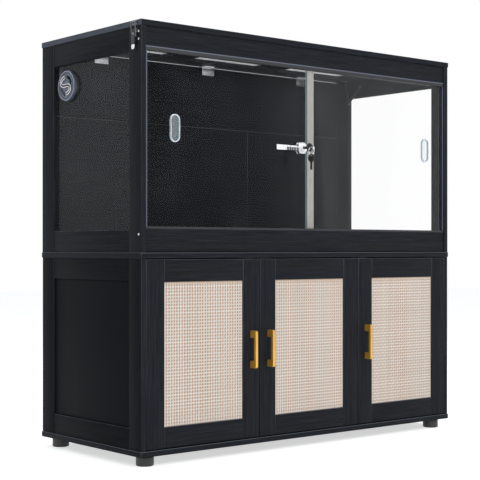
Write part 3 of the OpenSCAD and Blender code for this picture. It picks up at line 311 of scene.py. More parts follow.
def brushed_brass():
    """Golden brass, brushed along its length."""
    f = Finish("brushed_brass", Metallic=0.62, Roughness=0.30)
    where = f.place()
    brush = f.stretched(where, (900.0, 900.0, 30.0), 1.0, 3.0)
    patch = f.noise(where, 40.0, 3.0)
    color = f.blend(patch.smooth(0.35, 0.75) * 0.5, (0.76, 0.42, 0.075), (0.64, 0.33, 0.045))
    return f.set(Base_Color=color, Roughness=brush * 0.18 + 0.20, Normal=f.bump(brush, 0.10, 0.0002))


def moulded_plastic(name, tone, light, rough=0.45, grain=0.12, alpha=None):
    """Moulded plastic with a fine spark-eroded grain."""
    f = Finish(name, Roughness=rough, Specular_IOR_Level=0.5)
    if alpha is not None:
        f.shader.inputs["Alpha"].default_value = alpha
    where = f.place()
    cloud = f.noise(where, 60.0, 3.0)
    spark = f.noise(where, 1400.0, 2.0)
    color = f.blend(cloud.smooth(0.35, 0.70) * 0.7, tone, light)
    return f.set(Base_Color=color, Roughness=cloud * 0.14 + (rough - 0.07),
                 Normal=f.bump(spark, grain, 0.0002))


def bar_plate():
    """Bright plate, with dark teeth along the part of the lock's bar that is next to the lock."""
    f = Finish("bar_plate", Metallic=0.35, Roughness=0.28)
    where = f.place()
    x, _, z = f.parts(where)
    low = 1.0 - (z - (LOCK_Z + 1.5) * MM).smooth(0.0, 0.001)
    near = (x + 0.084).smooth(0.0, 0.001)
    tooth = ((x * 700.0).sine() * 0.5 + 0.5).smooth(0.2, 0.6)
    teeth = near * low * (tooth * 0.5 + 0.5)
    wear = f.noise(where, 200.0, 3.0)
    tone = f.blend(wear.smooth(0.5, 0.8) * 0.4, (0.90, 0.90, 0.91), (0.62, 0.62, 0.64))
    tone = f.blend(teeth, tone, (0.012, 0.012, 0.014))
    return f.set(Base_Color=tone, Roughness=wear * 0.1 + 0.22)


def clear_rim_painted_light():
    """A clear moulding's rim: a painted highlight makes it white at its round ends, painted reflections
    streak it grey-blue, and painted shade darkens its sides.
    """
    f = Finish("rim_plastic_painted_light", Roughness=0.14, Specular_IOR_Level=0.5)
    where = f.place()
    across, _, up = (part.size() for part in f.parts(f.place("Normal")))
    # Painted reflection in streaks, painted highlight where the rim faces up, painted shade where it faces
    # across
    streak = f.stretched(where, (900.0, 900.0, 60.0), 1.0, 2.0)
    tone = f.blend(streak.smooth(0.40, 0.62), (0.72, 0.74, 0.80), (0.34, 0.39, 0.47))
    tone = f.blend(up.smooth(0.3, 0.8), tone, (0.82, 0.83, 0.87))
    tone = f.blend(across.smooth(0.5, 0.9) * 0.7, tone, (0.16, 0.20, 0.27))
    return f.set(Base_Color=tone, Roughness=streak * 0.1 + 0.10)


def woven_cane():
    """Off-white cane: each strand a little different, fibres along it, with painted shade where it dips and
    a painted shadow of the top rail."""
    f = Finish("woven_cane", Roughness=0.62, Specular_IOR_Level=0.35)
    uv = f.place("UV")
    fibre = f.stretched(uv, (160.0, 2600.0, 1.0), 1.0, 3.0, 0.6)
    strand = f.stretched(uv, (2.0, 190.0, 1.0), 1.0, 1.0, 0.4)
    tone = f.ramp(strand, (0.30, (0.565, 0.50, 0.435)), (0.52, (0.635, 0.575, 0.515)),
                  (0.72, (0.685, 0.635, 0.58)))
    tone = f.blend(fibre.smooth(0.55, 0.80) * 0.25, tone, (0.56, 0.46, 0.37))
    _, depth, height = f.parts(f.place())
    # Painted shade: the strands darker where they dip back
    dip_shade = ((depth - CANE_Y * MM) * 2000.0).smooth(-0.1, 1.1)
    tone = f.blend(dip_shade * 0.30, tone, (0.50, 0.38, 0.27))
    shade = (height - (DOOR_Z1 - DOOR_TOP_RAIL - 8.0) * MM).smooth(0.0, 0.003)
    tone = f.blend(shade * 0.35, tone, (0.52, 0.32, 0.18))
    return f.set(Base_Color=tone, Roughness=fibre * 0.15 + 0.55, Normal=f.bump(fibre, 0.25, 0.0002))


def cane_backing():
    """The tan cloth behind the cane."""
    f = Finish("cane_backing", Roughness=0.85)
    where = f.place()
    thread = f.noise(where, 700.0, 3.0)
    tone = f.blend(thread.smooth(0.35, 0.70), (0.30, 0.112, 0.030), (0.38, 0.155, 0.048))
    return f.set(Base_Color=tone, Roughness=thread * 0.1 + 0.78, Normal=f.bump(thread, 0.3, 0.0003))


laminate = charcoal_laminate("charcoal_laminate")
lid_laminate = charcoal_laminate("charcoal_laminate_lid", True)
upper_laminate = charcoal_laminate("charcoal_laminate_upper", side_shade=0.10)
lower_laminate = charcoal_laminate("charcoal_laminate_lower", side_shade=0.50)
panel_laminate = charcoal_laminate("charcoal_laminate_panel", side_shade=0.54, grain=0.3)
glass_across = clear_glass("pane_glass", 1, 0.045)
glass_side = clear_glass("side_pane_glass", 0, 0.025)
nickel = bright_metal("nickel_plate", (0.74, 0.75, 0.77), (0.48, 0.49, 0.51))
black_zinc = bright_metal("black_zinc", (0.030, 0.033, 0.038), (0.012, 0.013, 0.015), 0.34, 0.6)
dark_zinc = bright_metal("dark_zinc", (0.16, 0.17, 0.18), (0.07, 0.07, 0.08), 0.36)
screw_zinc = bright_metal("screw_zinc", (0.70, 0.70, 0.73), (0.46, 0.47, 0.50), 0.35, 0.3)
lock_plate = bright_metal("lock_plate", (0.90, 0.90, 0.91), (0.50, 0.50, 0.52), 0.24, 0.6)
wire_steel = bright_metal("wire_steel", (0.62, 0.62, 0.62), (0.42, 0.42, 0.42), 0.38, 0.4)
brass = brushed_brass()
black_plastic = moulded_plastic("black_plastic", (0.012, 0.012, 0.013), (0.022, 0.022, 0.024), 0.42)
vent_grey = bright_metal("vent_grey", (0.090, 0.108, 0.145), (0.055, 0.066, 0.090), 0.34, 0.30)
track_coat = bright_metal("track_coat", (0.0065, 0.0070, 0.0095), (0.004, 0.0045, 0.006), 0.42, 0.0)
channel_coat = bright_metal("channel_coat", (0.020, 0.025, 0.033), (0.013, 0.016, 0.021), 0.42, 0.0)
# Painted highlight: a light blue-grey for the track's lip and the channels' front edges
track_edge_highlight = bright_metal("track_edge_highlight", (0.085, 0.096, 0.135), (0.055, 0.062, 0.088), 0.36, 0.1)
clear_plastic = moulded_plastic("clear_plastic", (0.50, 0.56, 0.60), (0.66, 0.70, 0.74), 0.16, 0.03, 0.16)
# Painted highlight: a light metal for the beads on the vent flange's ridges
vent_rim_highlight = bright_metal("vent_rim_highlight", (0.42, 0.45, 0.55), (0.22, 0.26, 0.34), 0.26, 0.45)
# Painted highlight and painted reflection for the pulls' rims
rim_plastic_painted_light = clear_rim_painted_light()
strip_plastic = moulded_plastic("strip_plastic", (0.50, 0.47, 0.44), (0.56, 0.53, 0.50), 0.30, 0.03, 0.55)
cane = woven_cane()
backing = cane_backing()

SLOTS = {"laminate": laminate, "glass": glass_across, "rattan": backing, "brass": brass, "nickel": nickel,
         "mesh_steel": wire_steel, "black_plastic": black_plastic, "key_plastic": black_plastic,
         "track": track_coat, "clear_plastic": clear_plastic, "vent_grey": vent_grey}
OWN_FINISHES = {"side_glass": glass_side, "lid_board": lid_laminate, "dust_strip": strip_plastic,
                "latch_bases": black_zinc, "frame_screws": screw_zinc, "lock_bar": bar_plate(),
                "lid_brackets": dark_zinc, "stay_link_left": dark_zinc, "stay_link_right": dark_zinc,
                "latch_loop_left": dark_zinc, "latch_loop_right": dark_zinc}
for sub in frame["record"]["subparts"]:
    materials = nodes[sub["node"]].data.materials
    materials.clear()
    materials.append(OWN_FINISHES.get(sub["node"], SLOTS[sub["material_slot"]]))


# ---------------------------------------------------------------- surfaces

def piece(name, shape, material, body, stands_for, bevel=0.0, sharp=40.0):
    """Puts a shape's points (mm), faces and UV into a smooth mesh at the origin and hangs it on its body.

    Its edges are sharp where its faces turn by more than the angle sharp.
    """
    points, faces, uv = shape
    mesh = bpy.data.meshes.new(name)
    mesh.from_pydata((np.asarray(points, float) * MM).tolist(), [], [tuple(map(int, f)) for f in faces])
    layer = mesh.uv_layers.new(name="UVMap")
    loops = np.empty(len(mesh.loops), np.int32)
    mesh.loops.foreach_get("vertex_index", loops)
    layer.data.foreach_set("uv", np.asarray(uv, np.float32)[loops].ravel())
    mesh.polygons.foreach_set("use_smooth", [True] * len(mesh.polygons))
    mesh.update()
    made = bpy.data.objects.new(name, mesh)
    bpy.context.scene.collection.objects.link(made)
    mesh.materials.append(material)
    if bevel:
        cut = made.modifiers.new("edges", "BEVEL")
        cut.width, cut.segments, cut.limit_method = bevel * MM, 2, "ANGLE"
        cut.harden_normals = True
    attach(made, body)
    if stands_for:
        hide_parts(*stands_for)
    mesh.set_sharp_from_angle(angle=math.radians(sharp))


def joined(*shapes):
    """Several shapes as one."""
    points, faces, uv, start = [], [], [], 0
    for p, f, t in shapes:
        points.append(p)
        uv.append(t)
        faces += [[k + start for k in face] for face in f]
        start += len(p)
    return np.concatenate(points), faces, np.concatenate(uv)


def grid_faces(rows, columns):
    """Quads of a grid of points, its columns joined round."""
    row = np.arange(rows - 1)[:, None] * columns
    j = np.arange(columns)[None, :]
    k = (j + 1) % columns
    return np.stack([row + j, row + k, row + columns + k, row + columns + j], -1).reshape(-1, 4)


PROFILE = 4 * 3  # points round a board's profile


def plank_shape(low, high, grain, radius=0.9):
    """A board with eased edges, as a profile carried along the grain.

    The profile is a rectangle whose corners are arcs of three points. It is carried through six
    places: near each end it shrinks by radius * (1 - sin t) while it moves in by radius * (1 - cos t).
    U is the length along the grain and V the way round the profile, both in metres, moved on by the
    board's own place so that no two boards show the same grain.
    """
    low, high = np.asarray(low, float), np.asarray(high, float)
    a, b = [k for k in range(3) if k != grain]
    if grain == 1:
        a, b = b, a
    size = high - low
    turn = np.radians([0.0, 45.0, 90.0])
    ends = np.radians([0.0, 40.0, 90.0])
    inset = radius * (1 - np.sin(ends))
    move = radius * (1 - np.cos(ends))
    place = np.concatenate([move, size[grain] - move[::-1]])
    shrink = np.concatenate([inset, inset[::-1]])
    corner = [(1, 1), (-1, 1), (-1, -1), (1, -1)]
    rings = []
    for p, s in zip(place, shrink):
        r = max(radius - s, 0.02)
        half_a, half_b = size[a] / 2 - s, size[b] / 2 - s
        ring = []
        for n, (sa, sb) in enumerate(corner):
            t = turn + n * math.pi / 2
            ring.append(np.stack([sa * (half_a - r) + r * np.cos(t), sb * (half_b - r) + r * np.sin(t)], 1))
        rings.append((p, np.concatenate(ring)))
    points, uv = [], []
    seed = (low[0] * 0.37 + low[1] * 0.71 + low[2] * 0.53 + grain * 11.3) % 97.0
    for p, ring in rings:
        block = np.zeros((PROFILE, 3))
        block[:, grain] = low[grain] + p
        block[:, a] = (low[a] + high[a]) / 2 + ring[:, 0]
        block[:, b] = (low[b] + high[b]) / 2 + ring[:, 1]
        points.append(block)
        v = ring[:, 0] + ring[:, 1] * 1.31
        uv.append(np.stack([np.full(PROFILE, p * MM + seed), v * MM + seed * 0.77], 1))
    points, uv = np.concatenate(points), np.concatenate(uv)
    faces = [list(f) for f in grid_faces(len(rings), PROFILE)]
    first, last = np.arange(PROFILE), np.arange(PROFILE) + (len(rings) - 1) * PROFILE
    faces += [list(first[::-1]), list(last)]
    return points, faces, uv


def boards(name, body, specs, stands_for, radius=0.9, material=None):
    """One piece of several boards, each given by its two corners and its grain's axis."""
    planks = joined(*(plank_shape(low, high, grain, radius) for low, high, grain in specs))
    piece(name, planks, material or laminate, body, stands_for, sharp=50.0)


# ---------------------------------------------------------------- boards

for node, low_z in (("bottom_board", Z_FOOT), ("mid_board", Z_MID)):
    boards(f"{node}_laminated", "cabinet",
           [((-BOARD_W / 2, Y_FRONT, low_z), (BOARD_W / 2, Y_REAR, low_z + BOARD_T), 0)], [node], 1.4)


def framed_side(node, sign, x_out, y_span, z_span, rails, finish):
    """Two stiles with upright grain and two rails with level grain, the rails 1 mm back."""
    x = sorted((sign * x_out, sign * (x_out - BOARD_T)))
    xr = sorted((sign * (x_out - 1.0), sign * (x_out - BOARD_T)))
    (y0, y1), (z0, z1), (top, low) = y_span, z_span, rails
    front, rear = y0 + FRONT_STILE, y1 - REAR_STILE
    boards(f"{node}_laminated", "cabinet", [
        ((x[0], y0, z0), (x[1], front, z1), 2), ((x[0], rear, z0), (x[1], y1, z1), 2),
        ((xr[0], front + 0.1, z0), (xr[1], rear - 0.1, z0 + low), 1),
        ((xr[0], front + 0.1, z1 - top), (xr[1], rear - 0.1, z1), 1)], [node], 0.6, finish)


for side, sign in SIDES:
    framed_side(f"lower_{side}_frame", sign, LOWER_X, (LOWER_Y0, LOWER_Y1), (Z_LOWER, Z_MID), LOWER_RAILS,
                lower_laminate)
    framed_side(f"upper_{side}_frame", sign, UPPER_X, (UPPER_Y0, UPPER_Y1), (Z_FLOOR, Z_CASE), UPPER_RAILS,
                upper_laminate)

TONGUE, PANEL_X = 6.0, (588.0, 593.0)
panels = []
for _, sign in SIDES:
    x0, x1 = sorted(sign * x for x in PANEL_X)
    panels.append(((x0, LOWER_Y0 + (FRONT_STILE - TONGUE), Z_LOWER + (LOWER_RAILS[1] - TONGUE)),
                   (x1, LOWER_Y1 - (REAR_STILE - TONGUE), Z_MID - (LOWER_RAILS[0] - TONGUE)), 2))
boards("lower_side_panels_laminated", "cabinet", panels, ["lower_side_panels"], 0.3, panel_laminate)
boards("lower_back_laminated", "cabinet",
       [((-LOWER_IN, LOWER_Y1 - 8, Z_LOWER), (LOWER_IN, LOWER_Y1 - 3, Z_MID), 0)], ["lower_back"], 0.3)
partition_low, partition_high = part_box("partition")
boards("partition_laminated", "cabinet",
       [(tuple(v / MM for v in partition_low), tuple(v / MM for v in partition_high), 2)], ["partition"])
boards("front_fascia_laminated", "cabinet", [
    ((-UPPER_IN, FASCIA_Y, Z_CASE - FASCIA_H), (UPPER_IN, FASCIA_Y + BOARD_T, Z_CASE), 0)], ["front_fascia"])
boards("front_rail_laminated", "cabinet", [
    ((-UPPER_IN, FASCIA_Y, Z_FLOOR), (UPPER_IN, FASCIA_Y + BOARD_T, Z_FLOOR + RAIL_H), 0)],
    ["front_rail"], 0.5)
back_y0, back_y1 = UPPER_Y1 - BOARD_T, UPPER_Y1
seam_z, seam_x = Z_FLOOR + 397.0, 165.0
boards("back_boards_laminated", "cabinet", [
    ((-UPPER_IN, back_y0, seam_z + 0.4), (UPPER_IN, back_y1, Z_CASE - 3), 0),
    ((-UPPER_IN, back_y0, Z_FLOOR), (seam_x - 0.4, back_y1, seam_z - 0.4), 0),
    ((seam_x + 0.4, back_y0, Z_FLOOR), (UPPER_IN, back_y1, seam_z - 0.4), 0)], ["back_boards"], 1.2)


def door_left_edge(i):
    return DOOR_GAP / 2 - LOWER_IN + i * (DOOR_W + DOOR_GAP)


# The rails stand 0.5 mm behind the stiles' faces and 0.1 mm clear of their edges
for i, side in enumerate(DOORS):
    x0 = door_left_edge(i)
    x1 = x0 + DOOR_W
    y0, y1 = LOWER_Y0, LOWER_Y0 + BOARD_T
    left, right = x0 + (DOOR_STILE + 0.1), x1 - (DOOR_STILE + 0.1)
    boards(f"door_{side}_frame_laminated", f"door_{side}", [
        ((x0, y0, DOOR_Z0), (x0 + DOOR_STILE, y1, DOOR_Z1), 2),
        ((x1 - DOOR_STILE, y0, DOOR_Z0), (x1, y1, DOOR_Z1), 2),
        ((left, y0 + 0.5, DOOR_Z0), (right, y1, DOOR_Z0 + DOOR_LOW_RAIL), 0),
        ((left, y0 + 0.5, DOOR_Z1 - DOOR_TOP_RAIL), (right, y1, DOOR_Z1), 0)], [f"door_{side}_frame"])


# ---------------------------------------------------------------- swept and woven shapes

def outward(points, faces):
    """Turns the faces of a closed shape over if the volume inside them comes out negative."""
    volume = 0.0
    for face in faces:
        corner = points[list(face)]
        volume += np.einsum("ij,ij->", np.cross(corner[1:-1] - corner[0], corner[2:] - corner[0]),
                            np.repeat(corner[:1], len(face) - 2, 0))
    return faces if volume > 0 else [list(face)[::-1] for face in faces]


def used_only(points, faces):
    """The points that the faces use, and the faces numbered to suit."""
    used = np.unique(np.concatenate([np.array(face) for face in faces]))
    index = np.zeros(len(points), int)
    index[used] = np.arange(len(used))
    return points[used], [[int(index[v]) for v in face] for face in faces]


def carried(path, across, up, profile, closed=True):
    """A closed profile carried along a path: point = path(s) + across(s) * p + up(s) * q.

    U is the length along the path and V the way round the profile, both in metres.
    """
    path, profile = np.asarray(path, float), np.asarray(profile, float)
    across = np.broadcast_to(np.asarray(across, float), path.shape)
    up = np.broadcast_to(np.asarray(up, float), path.shape)
    points = path[:, None] + across[:, None] * profile[None, :, :1] + up[:, None] * profile[None, :, 1:]
    n, m = len(path), len(profile)
    faces = [list(f) for f in grid_faces(n, m)]
    if closed:
        last = (n - 1) * m
        faces += [[last + j, last + (j + 1) % m, (j + 1) % m, j] for j in range(m)]
    else:
        faces += [list(range(m))[::-1], list(range((n - 1) * m, n * m))]
    length = np.concatenate([[0.0], np.cumsum(np.linalg.norm(np.diff(path, axis=0), axis=1))])
    girth = np.concatenate([[0.0], np.cumsum(np.linalg.norm(np.diff(profile, axis=0), axis=1))])
    uv = np.stack(np.broadcast_arrays(length[:, None], girth[None, :]), -1).reshape(-1, 2) * MM
    points = points.reshape(-1, 3)
    return points, outward(points, faces), uv


def turned(center, axis, outline, steps=48):
    """A surface of revolution: the outline's (radius, height) pairs turned about an axis, as
    (r cos t, r sin t, h). The outline starts and ends on the axis or is a closed loop."""
    outline = np.asarray(outline, float)
    t = np.linspace(0.0, 2 * math.pi, steps, endpoint=False)[:, None]
    r, h = outline[None, :, 0], outline[None, :, 1] + 0 * t
    a, b = [k for k in range(3) if k != axis]
    points = np.zeros((steps, len(outline), 3))
    points[..., a], points[..., b], points[..., axis] = r * np.cos(t), r * np.sin(t), h
    m = len(outline)
    points = points.reshape(-1, 3) + np.asarray(center, float)
    faces = []
    for i in range(steps):
        k = (i + 1) % steps
        for j in range(m):
            n = (j + 1) % m
            if outline[j, 0] < 1e-6 and outline[n, 0] < 1e-6:
                continue
            quad = [i * m + j, i * m + n, k * m + n, k * m + j]
            if outline[j, 0] < 1e-6:
                quad = [j, i * m + n, k * m + n]
            elif outline[n, 0] < 1e-6:
                quad = [i * m + j, n, k * m + j]
            faces.append(quad)
    points, faces = used_only(points, faces)
    return points, outward(points, faces), points[:, [a, b]] * MM


def prism(outline, axis, low, high):
    """A flat outline carried straight along an axis."""
    outline = np.asarray(outline, float)
    a, b = [k for k in range(3) if k != axis]
    m = len(outline)
    points = np.zeros((2, m, 3))
    points[..., a], points[..., b] = outline[:, 0], outline[:, 1]
    points[0, :, axis], points[1, :, axis] = low, high
    points = points.reshape(-1, 3)
    faces = [[j, (j + 1) % m, m + (j + 1) % m, m + j] for j in range(m)]
    faces += [list(range(m))[::-1], list(range(m, 2 * m))]
    return points, outward(points, faces), points[:, [a, b]] * MM


def arc(center, radius, start, end, steps):
    """Points of a circle's arc between two angles in degrees."""
    t = np.radians(np.linspace(start, end, steps))
    return np.stack([center[0] + radius * np.cos(t), center[1] + radius * np.sin(t)], 1)


def stadium(w, h, steps=13):
    """A stadium's outline and its outward directions."""
    half = (h - w) / 2
    over, under = arc((0, 0), 1.0, 0, 180, steps), arc((0, 0), 1.0, 180, 360, steps)
    points = np.concatenate([over * w / 2 + (0, half), under * w / 2 - (0, half)])
    return points, np.concatenate([over, under])


def weave(low, high, level, counts, halves, thick, rise, axes, steps=3):
    """A plain weave of flat strands between two corners of a plane.

    A strand's middle lies at level + rise * (-1)^i * sin(pi * s), where i is its number and s the way
    along it in pitches of the strands that cross it, and these take the opposite sign. Its section is
    four points, its half width one of the two halves. U is the length along the strand and V the way
    across it.
    """
    points, faces, uv, start = [], [], [], 0
    a, b, c = axes
    for run, cross, sign, half_w, n_strands, n_cross in (
            (a, b, 1.0, halves[0], counts[1], counts[0]), (b, a, -1.0, halves[1], counts[0], counts[1])):
        first = axes.index(run)
        second = 1 - first
        s = np.linspace(0.0, n_cross, n_cross * steps + 1)
        along = low[first] + (high[first] - low[first]) * s / n_cross
        i = np.arange(n_strands)[:, None]
        middle = low[second] + (high[second] - low[second]) * (i + 0.5) / n_strands
        wave = level + sign * rise * np.where(i % 2 == 0, 1.0, -1.0) * np.sin(math.pi * s)[None, :]
        block = np.zeros((n_strands, len(s), 4, 3))
        section = np.array([(-half_w, 0.0), (0.0, thick / 2), (half_w, 0.0), (0.0, -thick / 2)])
        block[..., run] = along[None, :, None]
        block[..., cross] = middle[:, :, None] + section[None, None, :, 0]
        block[..., c] = wave[:, :, None] + section[None, None, :, 1]
        quads = grid_faces(len(s), 4)
        caps = np.array([[3, 2, 1, 0], [0, 1, 2, 3]]) + np.array([[0], [(len(s) - 1) * 4]])
        one = np.array(outward(block[0].reshape(-1, 3), np.concatenate([quads, caps]).tolist()))
        every = one[None] + (np.arange(n_strands) * len(s) * 4)[:, None, None] + start
        faces.append(every.reshape(-1, 4))
        points.append(block.reshape(-1, 3))
        u = np.broadcast_to(along[None, :, None] * MM + i[:, :, None] * 0.37, (n_strands, len(s), 4))
        v = np.broadcast_to(section[None, None, :, 0] * MM + i[:, :, None] * 0.011, (n_strands, len(s), 4))
        uv.append(np.stack([u, v], -1).reshape(-1, 2))
        start += n_strands * len(s) * 4
    return np.concatenate(points), np.concatenate(faces).tolist(), np.concatenate(uv)


# ---------------------------------------------------------------- doors' cane and handles

for i, side in enumerate(DOORS):
    x0, x1 = door_left_edge(i) + DOOR_STILE, door_left_edge(i) + DOOR_W - DOOR_STILE
    z0, z1 = DOOR_Z0 + DOOR_LOW_RAIL, DOOR_Z1 - DOOR_TOP_RAIL
    counts = (round((x1 - x0) / CANE_PITCH), round((z1 - z0) / CANE_PITCH))
    shape = weave((x0 + 0.1, z0 + 0.1), (x1 - 0.1, z1 - 0.1), CANE_Y, counts, (1.85, 2.50), 0.5, 0.40,
                  (0, 2, 1), 4)
    piece(f"door_{side}_cane_weave", shape, cane, f"door_{side}", None, sharp=80.0)


def handle_outline():
    """Side view of a bow handle, as (y, z) from the door's face and the handle's middle."""
    out, gap, half, leg, outer, inner = 26.0, 17.0, 52.0, 20.0, 6.0, 2.5
    low_corner = arc((outer - out, outer - half), outer, 270, 180, 7)
    top_corner = arc((outer - out, half - outer), outer, 180, 90, 7)
    inner_top = arc((inner - gap, half - leg - inner), inner, 90, 180, 5)
    inner_low = arc((inner - gap, leg - half + inner), inner, 180, 270, 5)
    return np.concatenate([[(0.0, -half)], low_corner, top_corner, [(0.0, half), (0.0, half - leg)],
                           inner_top, inner_low, [(0.0, leg - half)]])


for side in DOORS:
    low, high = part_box(f"door_{side}_handle")
    middle_x, middle_z = (low[0] + high[0]) / 2 / MM, (low[2] + high[2]) / 2 / MM
    shape = prism(handle_outline() + (LOWER_Y0, middle_z), 0, middle_x - 4.0, middle_x + 4.0)
    piece(f"door_{side}_bow_handle", shape, brass, f"door_{side}", [f"door_{side}_handle"],
          bevel=0.9)


# ---------------------------------------------------------------- lid mesh

# Each net and its rim reach past the edges of their opening, into its rabbet
for i, side in enumerate(DOORS):
    mid = (i - 1) * LID_PITCH
    x0, x1, y0, y1 = mid - LID_HALF, mid + LID_HALF, Y_FRONT + LID_STRIP, Y_REAR - LID_STRIP
    z = Z_TOP - 6.0 + 0.6
    net = weave((x0 - 3, y0 - 3), (x1 + 3, y1 + 3), z, (48, 56), (0.27, 0.27), 0.54, 0.24, (0, 1, 2), 2)
    left, right, front, rear = x0 - 4, x1 + 4, y0 - 4, y1 + 4
    rim_path = np.array([(left, front, z), (right, front, z), (right, rear, z), (left, rear, z)])
    out = np.array([(-1, -1, 0), (1, -1, 0), (1, 1, 0), (-1, 1, 0)], float)
    rim = carried(rim_path, out, (0, 0, 1), [(-3.4, -0.55), (3.4, -0.55), (3.4, 0.55), (-3.4, 0.55)])
    piece(f"lid_wire_net_{side}", joined(net, rim), wire_steel, "lid", ["lid_mesh"],
          sharp=60.0)


# ---------------------------------------------------------------- vent trim

def bead(path, x, radius=0.8, sides=8):
    """A round bead along a closed path in the Y-Z plane, its (y, z) points measured from the vent's
    middle."""
    path = np.asarray(path, float)
    ahead, behind = np.roll(path, -1, 0), np.roll(path, 1, 0)
    way = ahead - behind
    way /= np.linalg.norm(way, axis=1)[:, None]
    points = np.column_stack([np.full(len(path), x), path[:, 0] + VENT_Y, path[:, 1] + VENT_Z])
    side = np.column_stack([np.zeros(len(path)), way[:, 1], -way[:, 0]])
    t = np.linspace(0, 2 * math.pi, sides, endpoint=False)
    return carried(points, side, (1, 0, 0), np.stack([radius * np.cos(t), radius * np.sin(t)], 1))


def slotted_disc(radius, low, high, hole=0.0, rim=0.0):
    """A disc with two curved slots on a circle of 25 mm, facing -X.

    Point = (h(r), r cos t, r sin t) over rings r and angles t; the slot's half width at an angle d from
    its middle is w sqrt(1 - e^2), e rising from 0 to 1 over its last 10 degrees.
    """
    steps = 144
    t = np.linspace(0.0, 2 * math.pi, steps, endpoint=False)
    away = np.abs((np.degrees(t) - 135.0 + 90.0) % 180.0 - 90.0)
    e = np.clip((away - 28.0) / 10.0, 0.0, 1.0)
    half = 4.6 * np.sqrt(1.0 - e * e)
    inner = [np.full(steps, r) for r in (max(hole, 3.0), 14.0)]
    outer = [np.full(steps, radius - step) for step in (3.2, 2.4, 0.7, 0.0)]
    rings = np.stack([*inner, 25.0 - half, 25.0 + half, *outer])
    face = np.array([0.0, 0.0, 0.0, 0.0, 0.0, -rim, -rim, 0.5 - rim])[:, None] + low
    n = len(rings)
    sheets = []
    for height in (face + 0 * rings, np.full_like(rings, high)):
        sheets.append(np.stack([height, rings * np.cos(t), rings * np.sin(t)], -1).reshape(-1, 3))
    points = np.concatenate(sheets) + (0.0, VENT_Y, VENT_Z)
    back = n * steps
    same = np.arange(2 * back)
    closed = np.nonzero(half < 1e-6)[0]
    for offset in (0, back):
        same[offset + 3 * steps + closed] = offset + 2 * steps + closed
    j = np.arange(steps)
    k = (j + 1) % steps
    faces = []
    for row in (0, 1, 3, 4, 5, 6):
        start, after = row * steps, (row + 1) * steps
        quads = np.stack([start + j, start + k, after + k, after + j], 1)
        faces += [quads, quads[:, ::-1] + back]
    for row, way in ((n - 1, 1), (2, 1), (3, -1)):
        start = row * steps
        wall = np.stack([start + j, start + k, start + k + back, start + j + back], 1)
        if row != n - 1:
            wall = wall[(half[j] > 1e-6) | (half[k] > 1e-6)]
        faces.append(wall[:, ::way])
    faces = [list(dict.fromkeys(same[face].tolist())) for face in np.concatenate(faces)]
    if hole:
        faces += [[int(b), int(a), int(a) + back, int(b) + back] for a, b in zip(j, k)]
    else:
        faces += [j[::-1].tolist(), (j + back).tolist()]
    points, faces = used_only(points, faces)
    return points, outward(points, faces), points[:, 1:] * MM


def grip_metal_painted_light():
    """The grip's metal: a painted highlight on its ridges and painted shade in its groove, by the height
    over the cover.
    """
    f = Finish("grip_metal_painted_light", Metallic=0.2, Roughness=0.3)
    where = f.place()
    height = (f.parts(where)[0] * -1.0 + COVER_X * MM) * 1000.0
    wear = f.noise(where, 300.0, 3.0)
    # Painted shade low in the groove, painted highlight high on the ridges
    tone = f.blend(height.smooth(1.0, 2.7), (0.006, 0.007, 0.010), (0.92, 0.92, 0.95))
    tone = f.blend(wear.smooth(0.45, 0.65) * 0.45, tone, (0.10, 0.11, 0.14))
    return f.set(Base_Color=tone, Roughness=wear * 0.15 + 0.22)


def flange_metal_groove_shade():
    """The flange's metal, with painted shade as darker rings where its turned grooves are."""
    f = Finish("flange_metal_groove_shade", Metallic=0.3, Roughness=0.34)
    where = f.place()
    _, y, z = f.parts(where)
    across, up = y - VENT_Y * MM, z - VENT_Z * MM
    radius = (across * across + up * up).power(0.5) * 1000.0
    wear = f.noise(where, 240.0, 4.0, 0.6)
    tone = f.blend(wear.smooth(0.40, 0.70) * 0.6, (0.082, 0.098, 0.138), (0.043, 0.052, 0.076))
    # Painted shade: darker rings in the turned grooves
    for middle, width, share in ((37.9, 1.2, 0.85), (34.9, 0.7, 0.8), (31.6, 0.6, 0.5)):
        ring = 1.0 - ((radius - middle).size() / width).smooth(0.5, 1.0)
        tone = f.blend(ring * share, tone, (0.016, 0.019, 0.028))
    return f.set(Base_Color=tone, Roughness=wear * 0.2 + 0.24)


def vent_grip():
    """The grip: an S of two ridges with a groove between. Its middle line is two elliptic arcs,
    (p, q) = (22 cos t, 12 + 12 sin t) for t from 82 to 270 degrees and the same turned half round, all
    turned by 10 degrees, where p is towards the front and q is up."""
    t = np.radians(np.linspace(82.0, 270.0, 36))
    upper = np.stack([22.0 * np.cos(t), 12.0 + 12.0 * np.sin(t)], 1)
    p, q = np.concatenate([upper, -upper[-2::-1]]).T
    turn = math.radians(10.0)
    front, up = p * math.cos(turn) - q * math.sin(turn), p * math.sin(turn) + q * math.cos(turn)
    path = np.column_stack([np.full(len(p), COVER_X + 0.1), VENT_Y - front, VENT_Z + up])
    way = np.gradient(path, axis=0)
    way /= np.linalg.norm(way, axis=1)[:, None]
    end = np.abs(np.linspace(-1.0, 1.0, len(p)))
    wide = np.sqrt(1.02 - end ** 24)[:, None]
    side = np.column_stack([np.zeros(len(p)), way[:, 2], -way[:, 1]]) * wide
    half = [(4.9, 0.0), (4.8, 1.9), (4.2, 3.2), (3.4, 3.4), (2.7, 2.4), (2.3, 0.7)]
    section = half + [(-a, b) for a, b in half[::-1]]
    return carried(path, side, (-1, 0, 0), section, False)


